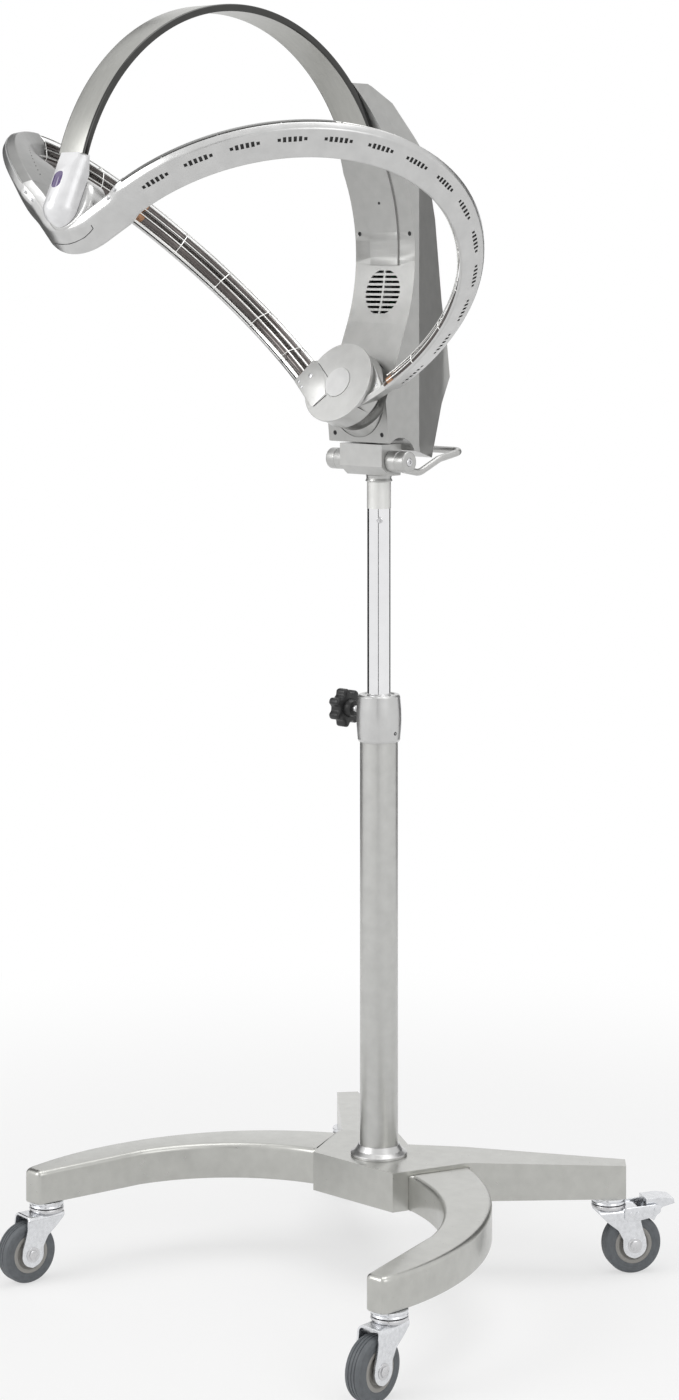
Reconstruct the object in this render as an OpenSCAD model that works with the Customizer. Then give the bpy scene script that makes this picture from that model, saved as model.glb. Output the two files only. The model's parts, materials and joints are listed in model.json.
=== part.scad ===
// Hair colour processor on a wheeled stand: a ring of two heated arms turns on a
// slanting axis between an arch's front end and the foot of a tilting body.
// Millimetres. +Z is up, the front is -Y, and the origin is on the floor under the column.

/* [Stand] */
// Height of the legs' undersides above the floor
leg_under_z = 98; // [94:1:104]
// Thickness of a leg at its tip
leg_tip_h = 42; // [34:1:48]
// Thickness of the hub block
hub_h = 49; // [44:1:56]
// Half width of the hub's front face
hub_half_w = 68; // [60:1:76]
// How far the hub's front face lies ahead of the column's axis
hub_front = 50; // [44:1:56]
// Wall of the cast hub and legs
casting_wall = 5; // [4:0.5:7]
// Where a rear leg's tip ends, to the side of the column's axis
rear_tip_x = 240; // [220:1:260]
// Where a rear leg's tip ends, behind the column's axis
rear_tip_y = 202; // [185:1:220]
// Width of a rear leg at its tip
rear_tip_w = 29; // [26:1:36]
// Notch between the rear legs, behind the column's axis
hub_notch_y = 56; // [48:1:64]
// Radius of a front leg's outer curve
leg_outer_r = 369.7; // [350:0.1:390]
// How far the outer curve reaches to the side
leg_side_x = 309.2; // [300:0.1:316]
// Centre of the outer curve, behind the axis
leg_outer_cy = -279.5; // [-290:0.1:-270]
// Radius of a front leg's inner curve
leg_inner_r = 242.8; // [236:0.1:250]
// How far the inner curve reaches to the side
leg_inner_side_x = 259.7; // [252:0.1:266]
// Centre of the inner curve, behind the axis
leg_inner_cy = -265.7; // [-275:0.1:-255]
// Where the inner curve runs out into a straight edge
leg_straight_y = -190; // [-200:1:-180]
// Side of the straight edge at the tip
leg_tip_in_x = 277; // [270:1:282]
// Front end of a front leg
leg_front_y = -332; // [-340:1:-324]
// Thickness of a front leg where it meets the hub
leg_root_h = 45; // [42:1:48]

/* [Column] */
// Outside radius of the column tube
column_r = 24.3; // [20:0.1:28]
// Wall of the column tube
column_wall = 2; // [1.5:0.1:3]
// Top of the clamp collar
collar_top_z = 734; // [700:1:780]
// Height of the clamp collar
collar_h = 60; // [50:1:70]
// Largest radius of the barrel-shaped collar
collar_r = 28.8; // [27:0.1:32]
// Radius of the collar at its lower end
collar_low_r = 26.4; // [26:0.1:27]
// Outside radius of the ring round the column's foot
foot_ring_r = 36; // [32:0.5:40]
// Height of the ring round the column's foot
foot_ring_h = 14; // [10:1:18]
// Radius of the chromed mast
mast_r = 15; // [12:0.1:17]
// Wall of the mast tube
mast_wall = 1.5; // [1.2:0.1:2.5]
// Top of the mast, under the flange
mast_top_z = 1005; // [980:1:1030]
// Length of the mast tube
mast_len = 585; // [540:1:620]
// Height of the bare band round the mast's top
band_h = 34; // [20:1:40]
// Thickness of that band
band_t = 0.4; // [0.3:0.1:0.8]
// Running gap of every turning or sliding shaft, on the radius
run_gap = 0.05; // [0.03:0.01:0.1]
// Gap between moving neighbours that are not a fit
free_gap = 0.4; // [0.3:0.1:0.8]
// Gap at a fixed joint between two pieces
seat_gap = 0.1; // [0.05:0.01:0.2]

/* [Clamp knob] */
// Height of the clamp knob's axis
knob_z = 711; // [705:1:718]
// Outside radius of the star knob
knob_r = 25; // [20:0.5:28]
// Thickness of the star knob
knob_t = 20; // [16:1:24]
// Number of lobes on the knob
knob_lobes = 7; // [5:1:9]
// Distance of the knob's back from the column's axis
knob_back = 50; // [46:1:54]
// Radius of the threaded stud
stud_r = 4; // [3:0.1:5]

/* [Tilt joint] */
// Height of the tilt axis
tilt_z = 1033; // [1020:1:1050]
// Tilt axis behind the column's axis
tilt_y = -16; // [-20:1:-10]
// Half width of the tilt block
block_half_w = 35.8; // [32:0.1:40]
// Front face of the tilt block ahead of the tilt axis
block_front = 18.8; // [16:0.1:20]
// Back of the tilt block behind the tilt axis
block_back = 19; // [17:0.1:21]
// Top of the tilt block above the tilt axis
block_up = 21.5; // [19:0.1:23]
// Bottom of the tilt block below the tilt axis
block_down = 18.5; // [17:0.1:20]
// Radius of the horizontal barrels
barrel_r = 13.6; // [12:0.1:15]
// Distance of a barrel's outer end from the middle
barrel_end = 66.2; // [60:0.1:72]
// Radius of the shaft through the block and barrels
tilt_shaft_r = 6; // [5:0.1:7]
// Radius of the flared flange under the block
flange_r = 17.5; // [16:0.1:20]
// Radius of the handle's bar
bar_r = 4.5; // [3.5:0.1:6]
// Half width of the handle
handle_half_w = 47; // [40:1:54]
// Rear run of the handle behind the column's axis
handle_back = 110; // [100:1:120]
// Height of the handle's rear run above the tilt axis
handle_up = 6; // [0:1:10]
// How far the handle dips below the tilt axis
handle_dip = 16; // [12:1:20]

/* [Body] */
// Radius of the body's concave front
front_r = 240; // [232:1:248]
// Deepest point of the concave front, behind the axis
front_deep_y = 12; // [8:1:16]
// Height of that centre
front_cz = 1294; // [1286:1:1302]
// Half width of the body
body_half_w = 51.5; // [46:0.5:56]
// Wall of the body covers
cover_wall = 3; // [2:0.1:4]
// Body's parting face behind the column's axis
part_y = 20; // [16:1:24]
// Thickness of the raised centre panel
panel_t = 2.5; // [2:0.1:3]
// Half width of the centre panel at its lower end
panel_half_w = 24; // [20:0.5:26]
// Height of the seam across the centre panel
panel_seam_z = 1323; // [1315:1:1330]
// Lower tip of the moulded panel below the seam
panel_low_z = 1281; // [1278:1:1290]
// Height of the fan grille's centre
grille_z = 1246.7; // [1242:0.1:1250]
// Radius of the fan grille
grille_r = 29; // [25:0.5:30]
// Number of slots in the grille
grille_slots = 9; // [7:1:11]
// Radius of the fan's blades
fan_r = 26; // [22:0.5:27]
// Number of fan blades
fan_blades = 7; // [5:1:11]

/* [Arch] */
// Centre of the arch, behind the axis
arch_cy = -275.3; // [-285:0.1:-265]
// Height of the arch's centre
arch_cz = 1329.2; // [1320:0.1:1338]
// Outside radius of the arch
arch_r = 266; // [262:0.1:272]
// Thickness of the arch band
arch_t = 9; // [6:0.1:10]
// Half width of the arch at its front end
arch_front_half_w = 21.5; // [18:0.1:24]
// Half width of the arch where it meets the body
arch_rear_half_w = 28; // [26:0.1:30]
// Angle of the arch's front end, from straight back
arch_front_a = 162.4; // [158:0.1:166]
// Angle of the arch's rear end, from straight back
arch_rear_a = 26.3; // [25:0.1:28]
// Radius of the rounded end cap
cap_r = 21; // [18:0.5:22]
// Radius of the small button's head
button_r = 5; // [4:0.1:6]
// Travel of the button
button_travel = 1.2; // [0.8:0.1:2]

/* [Ring] */
// Slope of the ring's axis above level
axis_slope = 24.5; // [22:0.5:27]
// Lower pivot disc's face, behind the column's axis
disc_y = -78; // [-82:0.5:-74]
// Height of the lower pivot disc's centre
disc_z = 1134; // [1130:0.5:1138]
// Angle by which each arm is folded back from straight across
fold_a = 36.5; // [34:0.5:39]
// Distance of the arms' shared plane edge below the axis
fold_drop = 40.6; // [38:0.1:43]
// Radius of an arm's front and outer curve
arm_r = 262.1; // [256:0.1:268]
// Radius of an arm's rear curve
arm_rear_r = 296.7; // [288:0.1:304]
// Centre of the front curve out from the fold
arm_cr = 106.4; // [100:0.1:112]
// Centre of the front curve along the axis from the disc
arm_cs = 245.6; // [240:0.1:250]
// Angle where the front curve passes into the rear curve
arm_join_a = 107.6; // [104:0.1:112]
// Angle where the arms' shells begin, at the front seam
arm_start_a = 1; // [0:0.5:4]
// Angle where the arms' shells end, at the disc
arm_end_a = 178; // [175:0.5:179]
// Width of the narrow upper strip of an arm
strip_w = 11.4; // [9:0.1:13]
// Width of the vented face of an arm
face_w = 34.8; // [30:0.1:38]
// Skin of the arms' shells
skin_t = 2.2; // [1.6:0.1:3]
// Radius of the heating lamps
lamp_r = 4.5; // [3.5:0.1:5]
// Radius of the guard's wires
wire_r = 0.9; // [0.7:0.1:1.2]
// Number of long wires on a guard
guard_wires = 5; // [3:1:7]
// Number of vent groups on an arm
vent_groups = 14; // [10:1:16]
// Number of slots in a vent group
vent_slots = 6; // [4:1:8]
// Radius of the lower pivot disc
disc_r = 53; // [48:0.5:56]
// Depth of the lower pivot drum
drum_depth = 29; // [24:0.5:30]
// Radius of the disc's cap
disc_cap_r = 19.5; // [16:0.5:22]
// Radius of the ring's lower shaft
ring_shaft_r = 8; // [6:0.1:10]
// Radius of the ring's front pivot pin
front_pin_r = 7; // [5:0.1:8]
// Front face of the ring's front hub along the axis
hub_front_s = 505; // [502:0.5:506]
// Radius of the front hub's round pad
pad_r = 35; // [32:0.5:37]
// Bend radius of the junction's outer crease
hub_bend_r = 61; // [54:0.5:66]

/* [Casters] */
// Radius of a wheel
wheel_r = 37.5; // [35:0.5:38]
// Width of a tyre
wheel_w = 24; // [20:0.5:26]
// Radius of a wheel's rim
rim_r = 24; // [20:0.5:27]
// Trail of a wheel behind its swivel axis
trail = 30; // [24:1:34]
// Radius of a wheel's axle
axle_r = 4; // [3:0.1:5]
// Radius of the swivel race
race_r = 22; // [19:0.5:24]
// Height of the fixed race under a leg
race_h = 8; // [6:0.5:10]
// Sheet of a fork
fork_t = 2.5; // [2:0.1:3]
// Radius of the king pin
king_r = 5; // [4:0.1:6]
// Swivel axis of a front caster, to the side
front_caster_x = 291; // [286:1:294]
// Swivel axis of a front caster, ahead of the column
front_caster_y = -306; // [-312:1:-300]
// Swivel axis of a rear caster, to the side
rear_caster_x = 224; // [216:1:230]
// Swivel axis of a rear caster, behind the column
rear_caster_y = 187; // [180:1:194]

/* [Hidden] */
$fn = 72;

// Overrun that lets every cut pass clear of the face it leaves
over = 1;

// Stand
hub_z = leg_under_z + hub_h;
leg_outer_cx = leg_side_x - leg_outer_r;
leg_inner_cx = leg_inner_side_x - leg_inner_r;
rear_axis_a = atan2(rear_tip_y, rear_tip_x);
rear_len = norm([rear_tip_x, rear_tip_y]);
leg_rib_h = 12;
socket_depth = 34;
socket_wall = 5;
front_leg_gap = seat_gap;
hub_corner_x = 108;
hub_corner_y = 48;
leg_root_x = 68;
leg_root_y = -47;

// Column
column_foot_z = leg_under_z + hub_h - socket_depth;
collar_z = collar_top_z - collar_h;
column_top_z = collar_top_z - 8;
bush_wall_gap = seat_gap;
mast_foot_z = mast_top_z - mast_len;
mast_bush_h = 40;
stop_screw_z = 957;
stop_screw_a = -45;
stop_head_r = 4;
stop_head_t = 4;
set_screw_z = 686;
set_screw_r = 2.5;
set_screw_len = 6;
neck_plug_h = 30;
neck_plug_r = mast_r - mast_wall - run_gap;

// Knob
knob_hub_r = 11;
lobe_r = 7.2;
valley_r = 6;
knob_sink = 8;
stud_end = mast_r + free_gap;

// Tilt joint
relief_r = 30.5;
block_round_r = 29.6;
shaft_end = barrel_end - 8;
handle_in_y = 10;
handle_in_down = 10.5;
handle_dip_y = 40;
handle_rise_y = 79;
handle_bend = 12;
handle_turn_r = 20;
bend_share = 1.06;
bend_lap = 1;
cap_screw_r = 5.2;
cap_screw_h = 3.2;
cap_screw_stand = 1.2;
barrel_gap = free_gap;
flange_h = 8.5;

// Body
front_cy = front_deep_y - front_r;
body_low_z = 1057;
chin_y = -38;
knee_y = -44;
knee_z = 1111;
slope_top_z = 1200;
slope_top_y = front_cy + sqrt(front_r * front_r - (front_cz - slope_top_z) * (front_cz - slope_top_z));
body_top_z = 1509;
shoulder_z = 1395;
top_half_w = 26;
rear_half_w = 20;
rear_corner_half_w = 24;
rear_corner_y = 95;
body_back_y = 140;
inner_front_y = -92;
// Rear outline from the top edge down to the bottom corner, each as [behind the axis, height]
back_line = [[-50, 1509], [-43, 1506], [-9, 1486], [21, 1446], [45, 1410], [73, 1339], [91, 1251],
    [107, 1177], [113, 1136], [95, 1102], [62, 1034]];
// Inward direction of the wall at each point of the outline
back_in_share = [[0, -1], [-0.3, -1], [-0.6, -0.9], [-0.85, -0.6], [-0.9, -0.4], [-1, -0.2], [-1, -0.15],
    [-1, -0.1], [-1, 0.1], [-0.95, 0.3], [-0.9, 1]];
lug_half_w = 15;
screw_r = 3;
screw_depth = 2.2;
upper_screw_x = 42.7;
upper_screw_z = 1321;
lower_screw_x = 40;
lower_screw_z = 1067.4;
small_screw_r = 1.8;
small_screw_zs = [1360, 1302];
grille_slot_h = 3.3;
grille_rib = 3;
fan_half = 28.5;
fan_depth = 14;
fan_front_y = 16;
fan_hub_r = 10;
fan_pin_r = 2;
board_t = 1.6;
board_half_w = 34;
board_h = 110;
board_low_z = 1215;
board_y = 50;
motor_r = 27;
motor_len = 44;
motor_gap = free_gap;
gland_r = 9;
gland_bore_r = 4;
gland_len = 16;
gland_z = 1062;
post_r = 3.5;

// Pivot bowl
bowl_back_s = -84;
bowl_root_s = -66;
bowl_rim_s = -50;
bowl_rim_r = 45.5;
bowl_root_r = 48.3;
bowl_dish_r = 43;
bowl_floor_s = -56;
boss_r = 26;
bowl_front_s = -drum_depth - free_gap;

// Arch
cap_back_s = hub_front_s + free_gap;
cap_front_s = 532;
cap_top_w = 66;
cap_top_back_s = 514;
cap_top_front_s = 524.5;
cap_round_s = cap_front_s - cap_r;
window_w = 28;
window_rx = 7;
window_half_h = 11;
window_t = 2;
pin_back_s = 472;
pin_head_s = cap_back_s + 12;
button_a = 158;
button_x = 8;

// Ring
arm_rear_cr = arm_cr + (arm_r - arm_rear_r) * sin(arm_join_a);
arm_rear_cs = arm_cs + (arm_r - arm_rear_r) * cos(arm_join_a);
strip_dir_share = [0.263, -0.965];
face_dir_share = [-0.901, 0.433];
pA = [strip_dir_share[0] * strip_w, strip_dir_share[1] * strip_w];
pB = [0, 0];
pC = [face_dir_share[0] * face_w, face_dir_share[1] * face_w];
strip_in_share = [-0.965, -0.263];
face_in_share = [-0.433, -0.901];
corner_in_share = [-0.845, -0.704];
open_dir = (pC - pA) / norm(pC - pA);
open_in = [-open_dir[1], open_dir[0]] * (open_dir[0] < 0 ? 1 : -1);
opening = norm(pC - pA);
rim_w = 4;
lip_w = 3;
reflector_t = 0.8;
reflector_gap = 0.3;
lamp_stand = 7;
lamp_share = [0.28, 0.7];
guard_stand = 14.6;
guard_droop_share = 0.45;
lamp_from_a = 4.5;
lamp_to_a = 175.5;
lamp_mid_a = 2.4;
socket_gap_a = 0.6;
socket_r = 5;
guard_end_a = 1.4;
guard_split_a = 0.08;
seam_half_a = 0.01;
core_half_a = 1.5;
core_share = 0.23;
hoop_at_a = [13, 44, 75, arm_join_a, 138, 167];
vent_from_a = 5.6;
vent_to_a = 170;
vent_share = 0.35;
slot_w = 2.4;
slot_h = 7;
slot_pitch_a = 1.02;
hub_lap_a = 0.5;
hub_core_share = 0.985;
hub_bend_w = hub_bend_r / cos(fold_a) - fold_drop;
hub_bend_out = hub_bend_r * tan(fold_a);
disc_lip = 1.4;
bracket_t = 6;
ring_screw_r = 2.6;

// Casters
fork_top_z = leg_under_z - race_h - free_gap;
fork_cap_h = 6;
cheek_in = wheel_w / 2 + 2.2;
fork_plate_half = cheek_in + fork_t;
tyre_round = 5;
hub_half = wheel_w / 2 + 1.2;
brake_x = 58;
brake_z = 82;
brake_pin_r = 2;
brake_ear_r = 6;
pedal_reach = 26;
// Side view of pedal and shoe about the rivet, as shares of the pedal's reach
pedal_shares = [[-0.46, 0.19], [-0.46, 0.48], [0.3, 0.52], [0.96, 0.42], [1, 0.19], [0.38, 0.04], [0.15, -0.23],
    [-0.058, -0.588], [-0.308, -0.423], [-0.23, 0]];
FRONT_LEFT = [-front_caster_x, front_caster_y, -100];
FRONT_RIGHT = [front_caster_x, front_caster_y, -88];
REAR_LEFT = [-rear_caster_x, rear_caster_y, 124];
REAR_RIGHT = [rear_caster_x, rear_caster_y, 56];

// Frames of reference

// Frame of the ring: z runs along its axis from the lower disc, x to the right, y up and back
module ring_frame() {
    translate([0, disc_y, disc_z]) rotate([90 - axis_slope, 0, 0]) children();
}

// Plane of one arm: x runs out from the fold, y along the ring's axis, z to the vented side
module arm_plane() {
    translate([0, -fold_drop, 0]) rotate([0, 0, fold_a]) rotate([90, 0, 0]) children();
}

// Both arms or one of them, in the whole part's frame
module arm_side(side) {
    ring_frame() mirror([side < 0 ? 1 : 0, 0, 0]) arm_plane() children();
}

// Frame of a caster: z up its swivel axis, x the way its wheel trails
module caster_frame(at) {
    translate([at[0], at[1], 0]) rotate([0, 0, at[2]]) children();
}

// A section swept along an arm from one angle to another, through both of its curves
module arm_sweep(from_a, to_a) {
    first_to = min(to_a, arm_join_a);
    if (from_a < arm_join_a)
        translate([arm_cr, arm_cs, 0]) rotate([0, 0, 90 - first_to])
            rotate_extrude(angle = first_to - from_a) translate([arm_r, 0]) children();
    if (to_a > arm_join_a)
        translate([arm_rear_cr, arm_rear_cs, 0]) rotate([0, 0, 90 - to_a])
            rotate_extrude(angle = to_a - max(from_a, arm_join_a)) translate([arm_rear_r, 0]) children();
}

// A section swept along an arm's front curve alone, also a little past its end
module on_arm_arc(from_a, to_a) {
    translate([arm_cr, arm_cs, 0]) rotate([0, 0, 90 - to_a])
        rotate_extrude(angle = to_a - from_a) translate([arm_r, 0]) children();
}

// A place on an arm's outer edge, with x outward along the arm's radius and y back along the arm
module on_arm(a) {
    rear = a > arm_join_a;
    cr = rear ? arm_rear_cr : arm_cr;
    cs = rear ? arm_rear_cs : arm_cs;
    r = rear ? arm_rear_r : arm_r;
    translate([cr, cs, 0]) rotate([0, 0, 90 - a]) translate([r, 0, 0]) children();
}

// Stand

// Plan of a curved front leg, on the right
module front_leg_plan() {
    difference() {
        intersection() {
            translate([leg_outer_cx, leg_outer_cy]) circle(r = leg_outer_r, $fn = 200);
            polygon([[leg_root_x, leg_front_y], [leg_side_x + over, leg_front_y], [leg_side_x + over, hub_corner_y],
                [leg_root_x, hub_corner_y]]);
        }
        translate([leg_inner_cx, leg_inner_cy]) circle(r = leg_inner_r, $fn = 200);
        polygon([[0, leg_straight_y], [leg_tip_in_x + (leg_tip_in_x - leg_root_x) * leg_run_share, leg_straight_y],
            [leg_tip_in_x, leg_front_y - over], [0, leg_front_y - over]]);
        hub_plan(front_leg_gap);
    }
}
leg_run_share = -0.144;

// Right half of the hub's outline from above, grown by a margin
function hub_half(g) = [
    [hub_half_w + g, -hub_front - g], [hub_corner_x + g, hub_corner_y - g * 0.4],
    [rear_tip_x + (rear_tip_w / 2 + g) * sin(rear_axis_a) + g * cos(rear_axis_a),
     rear_tip_y - (rear_tip_w / 2 + g) * cos(rear_axis_a) + g * sin(rear_axis_a)],
    [rear_tip_x - (rear_tip_w / 2 + g) * sin(rear_axis_a) + g * cos(rear_axis_a),
     rear_tip_y + (rear_tip_w / 2 + g) * cos(rear_axis_a) + g * sin(rear_axis_a)],
    [0, hub_notch_y + g * 1.3]];

// Plan of the hub with its two tapering rear legs
module hub_plan(grow) {
    half = hub_half(grow);
    polygon(concat(half, [for (k = [3 : -1 : 0]) [-half[k][0], half[k][1]]]));
}

module base_hub() {
    color([0.74, 0.74, 0.72]) difference() {
        translate([0, 0, leg_under_z]) linear_extrude(height = hub_h) hub_plan(0);
        // The top falls gently from the hub to each tip
        for (s = [0, 1]) mirror([s, 0, 0]) rotate([0, 0, rear_axis_a])
            translate([hub_corner_x, 0, hub_z])
                rotate([0, atan2(hub_h - leg_tip_h, rear_len - hub_corner_x), 0])
                    translate([0, -hub_half_w, 0]) cube([rear_len, 2 * hub_half_w, hub_h]);
        // Hollow of the casting, open below
        difference() {
            translate([0, 0, leg_under_z - over])
                linear_extrude(height = leg_tip_h - casting_wall + over) hub_plan(-casting_wall);
            cylinder(r = column_r + 2 * socket_wall, h = hub_z);
            for (s = [-1, 1]) translate([s * rear_caster_x, rear_caster_y, 0])
                cylinder(r = race_r, h = hub_z);
            for (a = [rear_axis_a, 180 - rear_axis_a]) rotate([0, 0, a])
                translate([0, -socket_wall / 2, hub_z - leg_rib_h - leg_tip_h / 2])
                    cube([rear_len, socket_wall, leg_tip_h]);
        }
        translate([0, 0, column_foot_z]) cylinder(r = column_r + seat_gap / 2, h = hub_h + over);
    }
}

module front_leg() {
    color([0.74, 0.74, 0.72]) difference() {
        translate([0, 0, leg_under_z]) linear_extrude(height = leg_root_h) front_leg_plan();
        // The top falls gently towards the tip
        translate([0, 0, leg_under_z + leg_root_h])
            rotate([atan2(leg_root_h - leg_tip_h, hub_front - leg_front_y), 0, 0])
                translate([0, leg_front_y * 2, 0]) cube([leg_side_x + over, -leg_front_y * 2 - hub_front, leg_tip_h]);
        translate([0, 0, leg_under_z - over]) linear_extrude(height = leg_tip_h - casting_wall + over)
            difference() {
                translate([leg_outer_cx, leg_outer_cy]) circle(r = leg_outer_r - casting_wall, $fn = 200);
                translate([leg_inner_cx, leg_inner_cy]) circle(r = leg_inner_r + casting_wall, $fn = 200);
                translate([0, leg_front_y - leg_tip_h])
                    square([leg_side_x, leg_tip_h + 2 * race_r + 6 * casting_wall]);
                translate([0, 2 * leg_front_y]) square([hub_corner_x + casting_wall, -4 * leg_front_y]);
                hub_plan(casting_wall);
            }
    }
}

module left_front_leg() mirror([1, 0, 0]) front_leg();

module right_front_leg() front_leg();

module column_foot_ring() {
    color([0.72, 0.72, 0.7]) translate([0, 0, hub_z]) rotate_extrude() difference() {
        polygon([[column_r + seat_gap, 0], [foot_ring_r, 0], [foot_ring_r, foot_ring_h / 2],
            [column_r + 2 * column_wall, foot_ring_h], [column_r + seat_gap, foot_ring_h]]);
        translate([foot_ring_r, foot_ring_h]) circle(r = foot_ring_h / 2);
    }
}

module column_tube() {
    color([0.66, 0.66, 0.65]) difference() {
        translate([0, 0, column_foot_z]) cylinder(r = column_r, h = column_top_z - column_foot_z);
        translate([0, 0, column_foot_z - over])
            cylinder(r = column_r - column_wall, h = column_top_z - column_foot_z + 2 * over);
        translate([0, 0, knob_z]) rotate([0, -90, 0]) cylinder(r = stud_r + free_gap, h = collar_r);
        translate([0, 0, set_screw_z]) rotate([0, 90, 0]) cylinder(r = set_screw_r + seat_gap, h = collar_r);
    }
}

// Barrel-shaped collar with its plastic guide for the mast
module clamp_collar() {
    wide_z = collar_h * 0.5;
    color([0.82, 0.82, 0.81]) difference() {
        translate([0, 0, collar_z]) rotate_extrude() polygon(concat(
            [[column_r + seat_gap, 0], [collar_low_r, 0]],
            [for (k = [0 : 12]) [collar_low_r + (collar_r - collar_low_r) * sin(180 * k / 12 * 0.94 + 5),
                over + (collar_h - 2 * over) * k / 12]],
            [[collar_low_r - over, collar_h], [mast_r + run_gap, collar_h],
             [mast_r + run_gap, 0], [column_r - column_wall - bush_wall_gap, 0],
             [column_r - column_wall - bush_wall_gap, column_top_z - collar_z + seat_gap],
             [column_r + seat_gap, column_top_z - collar_z + seat_gap]]));
        translate([0, 0, knob_z]) rotate([0, -90, 0]) cylinder(r = stud_r + run_gap, h = 2 * collar_r);
        translate([0, 0, set_screw_z]) rotate([0, 90, 0])
            translate([0, 0, column_r]) cylinder(r = set_screw_r + seat_gap / 2, h = collar_r);
    }
}

module collar_set_screw() {
    color([0.2, 0.2, 0.2]) translate([column_r - column_wall + seat_gap, 0, set_screw_z]) rotate([0, 90, 0])
        cylinder(r = set_screw_r, h = set_screw_len);
}

module caster_races() {
    color([0.78, 0.78, 0.8]) for (at = [FRONT_LEFT, FRONT_RIGHT, REAR_LEFT, REAR_RIGHT]) caster_frame(at) {
        translate([0, 0, leg_under_z - race_h]) rotate_extrude() polygon([[0, 0], [race_r - 2 * over, 0],
            [race_r, over], [race_r - over, race_h / 2], [race_r, race_h - over], [race_r - over, race_h], [0, race_h]]);
        translate([0, 0, fork_top_z - fork_cap_h - fork_t - free_gap])
            cylinder(r = king_r, h = race_h + fork_cap_h + fork_t + free_gap);
        translate([0, 0, fork_top_z - fork_cap_h - fork_t - free_gap - over * 2]) cylinder(r = king_r + 2, h = 2);
    }
}

// Clamp

module knob_plan() {
    difference() {
        union() {
            circle(r = knob_r - lobe_r * 0.7);
            for (k = [0 : knob_lobes - 1]) rotate(k * 360 / knob_lobes) translate([knob_r - lobe_r, 0]) circle(r = lobe_r);
        }
        for (k = [0 : knob_lobes - 1]) rotate((k + 0.5) * 360 / knob_lobes)
            translate([knob_r + valley_r * 0.35, 0]) circle(r = valley_r);
    }
}

module clamp_knob() {
    color([0.06, 0.06, 0.06]) translate([-knob_back, 0, knob_z]) rotate([0, -90, 0]) difference() {
        union() {
            linear_extrude(height = knob_t - over * 3) knob_plan();
            translate([0, 0, knob_t - over * 3]) cylinder(r1 = knob_hub_r + valley_r, r2 = knob_hub_r, h = 3 * over);
            translate([0, 0, -knob_sink]) cylinder(r = knob_hub_r * 0.8, h = knob_sink + over);
        }
        translate([0, 0, -knob_sink - over]) cylinder(r = stud_r + seat_gap / 2, h = knob_t + knob_sink - 3 * over);
    }
}

module clamp_stud() {
    color([0.8, 0.8, 0.8]) translate([-stud_end, 0, knob_z]) rotate([0, -90, 0])
        cylinder(r = stud_r, h = knob_back + knob_t - stud_end - 6 * over);
}

// Mast

module mast_tube() {
    color([0.85, 0.85, 0.87]) difference() {
        translate([0, 0, mast_foot_z]) cylinder(r = mast_r, h = mast_len);
        translate([0, 0, mast_foot_z - over]) cylinder(r = mast_r - mast_wall, h = mast_len + 2 * over);
        translate([0, 0, stop_screw_z]) rotate([0, 90, stop_screw_a]) cylinder(r = stop_head_r / 2 + seat_gap, h = mast_r * 2);
    }
}

module mast_bush() {
    color([0.15, 0.15, 0.15]) translate([0, 0, mast_foot_z - mast_wall - seat_gap]) difference() {
        cylinder(r = column_r - column_wall - run_gap, h = mast_bush_h);
        translate([0, 0, mast_wall]) cylinder(r = mast_r + seat_gap / 2, h = mast_bush_h);
        translate([0, 0, -over]) cylinder(r = mast_r - mast_wall, h = mast_bush_h);
    }
}

module mast_band() {
    color([0.86, 0.86, 0.84]) translate([0, 0, mast_top_z - band_h - seat_gap]) difference() {
        cylinder(r = mast_r + band_t, h = band_h);
        translate([0, 0, -over]) cylinder(r = mast_r, h = band_h + 2 * over);
    }
}

module mast_stop_screw() {
    color([0.8, 0.8, 0.8]) translate([0, 0, stop_screw_z]) rotate([0, 90, stop_screw_a]) {
        translate([0, 0, mast_r]) cylinder(r = stop_head_r, h = stop_head_t);
        translate([0, 0, mast_r - mast_wall - over]) cylinder(r = stop_head_r / 2, h = mast_wall + over * 2);
    }
}

// Neck

module mast_flange() {
    color([0.8, 0.8, 0.79]) translate([0, 0, mast_top_z + seat_gap]) rotate_extrude() polygon([[0, 0],
        [flange_r - over, 0], [flange_r, over], [flange_r - over * 2, flange_h / 2], [flange_r - over, flange_h],
        [0, flange_h]]);
    color([0.8, 0.8, 0.79]) translate([0, 0, mast_top_z - neck_plug_h]) cylinder(r = neck_plug_r, h = neck_plug_h + over);
}

module tilt_block() {
    low = tilt_z - block_down;
    chamfer_share = 0.62;
    color([0.76, 0.76, 0.75]) difference() {
        intersection() {
            translate([-block_half_w, 0, 0]) rotate([90, 0, 90]) linear_extrude(height = 2 * block_half_w) polygon([
                [tilt_y - block_front, tilt_z + block_up], [tilt_y - block_front, low + block_down * chamfer_share],
                [tilt_y - block_front * 0.25, low], [tilt_y + block_back * 0.9, low],
                [tilt_y + block_back, tilt_z], [tilt_y + block_back, tilt_z + block_up]]);
            translate([-block_half_w - over, tilt_y, tilt_z]) rotate([0, 90, 0])
                cylinder(r = block_round_r, h = 2 * (block_half_w + over));
        }
        translate([-barrel_end, tilt_y, tilt_z]) rotate([0, 90, 0])
            cylinder(r = tilt_shaft_r + seat_gap / 2, h = 2 * barrel_end);
    }
    color([0.76, 0.76, 0.75]) translate([0, 0, mast_top_z + flange_h + seat_gap])
        cylinder(r = flange_r - over, h = low - mast_top_z - flange_h - seat_gap + over);
}

module tilt_shaft() {
    color([0.5, 0.5, 0.5]) translate([-shaft_end, tilt_y, tilt_z]) rotate([0, 90, 0])
        cylinder(r = tilt_shaft_r, h = 2 * shaft_end);
}

// Head

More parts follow.
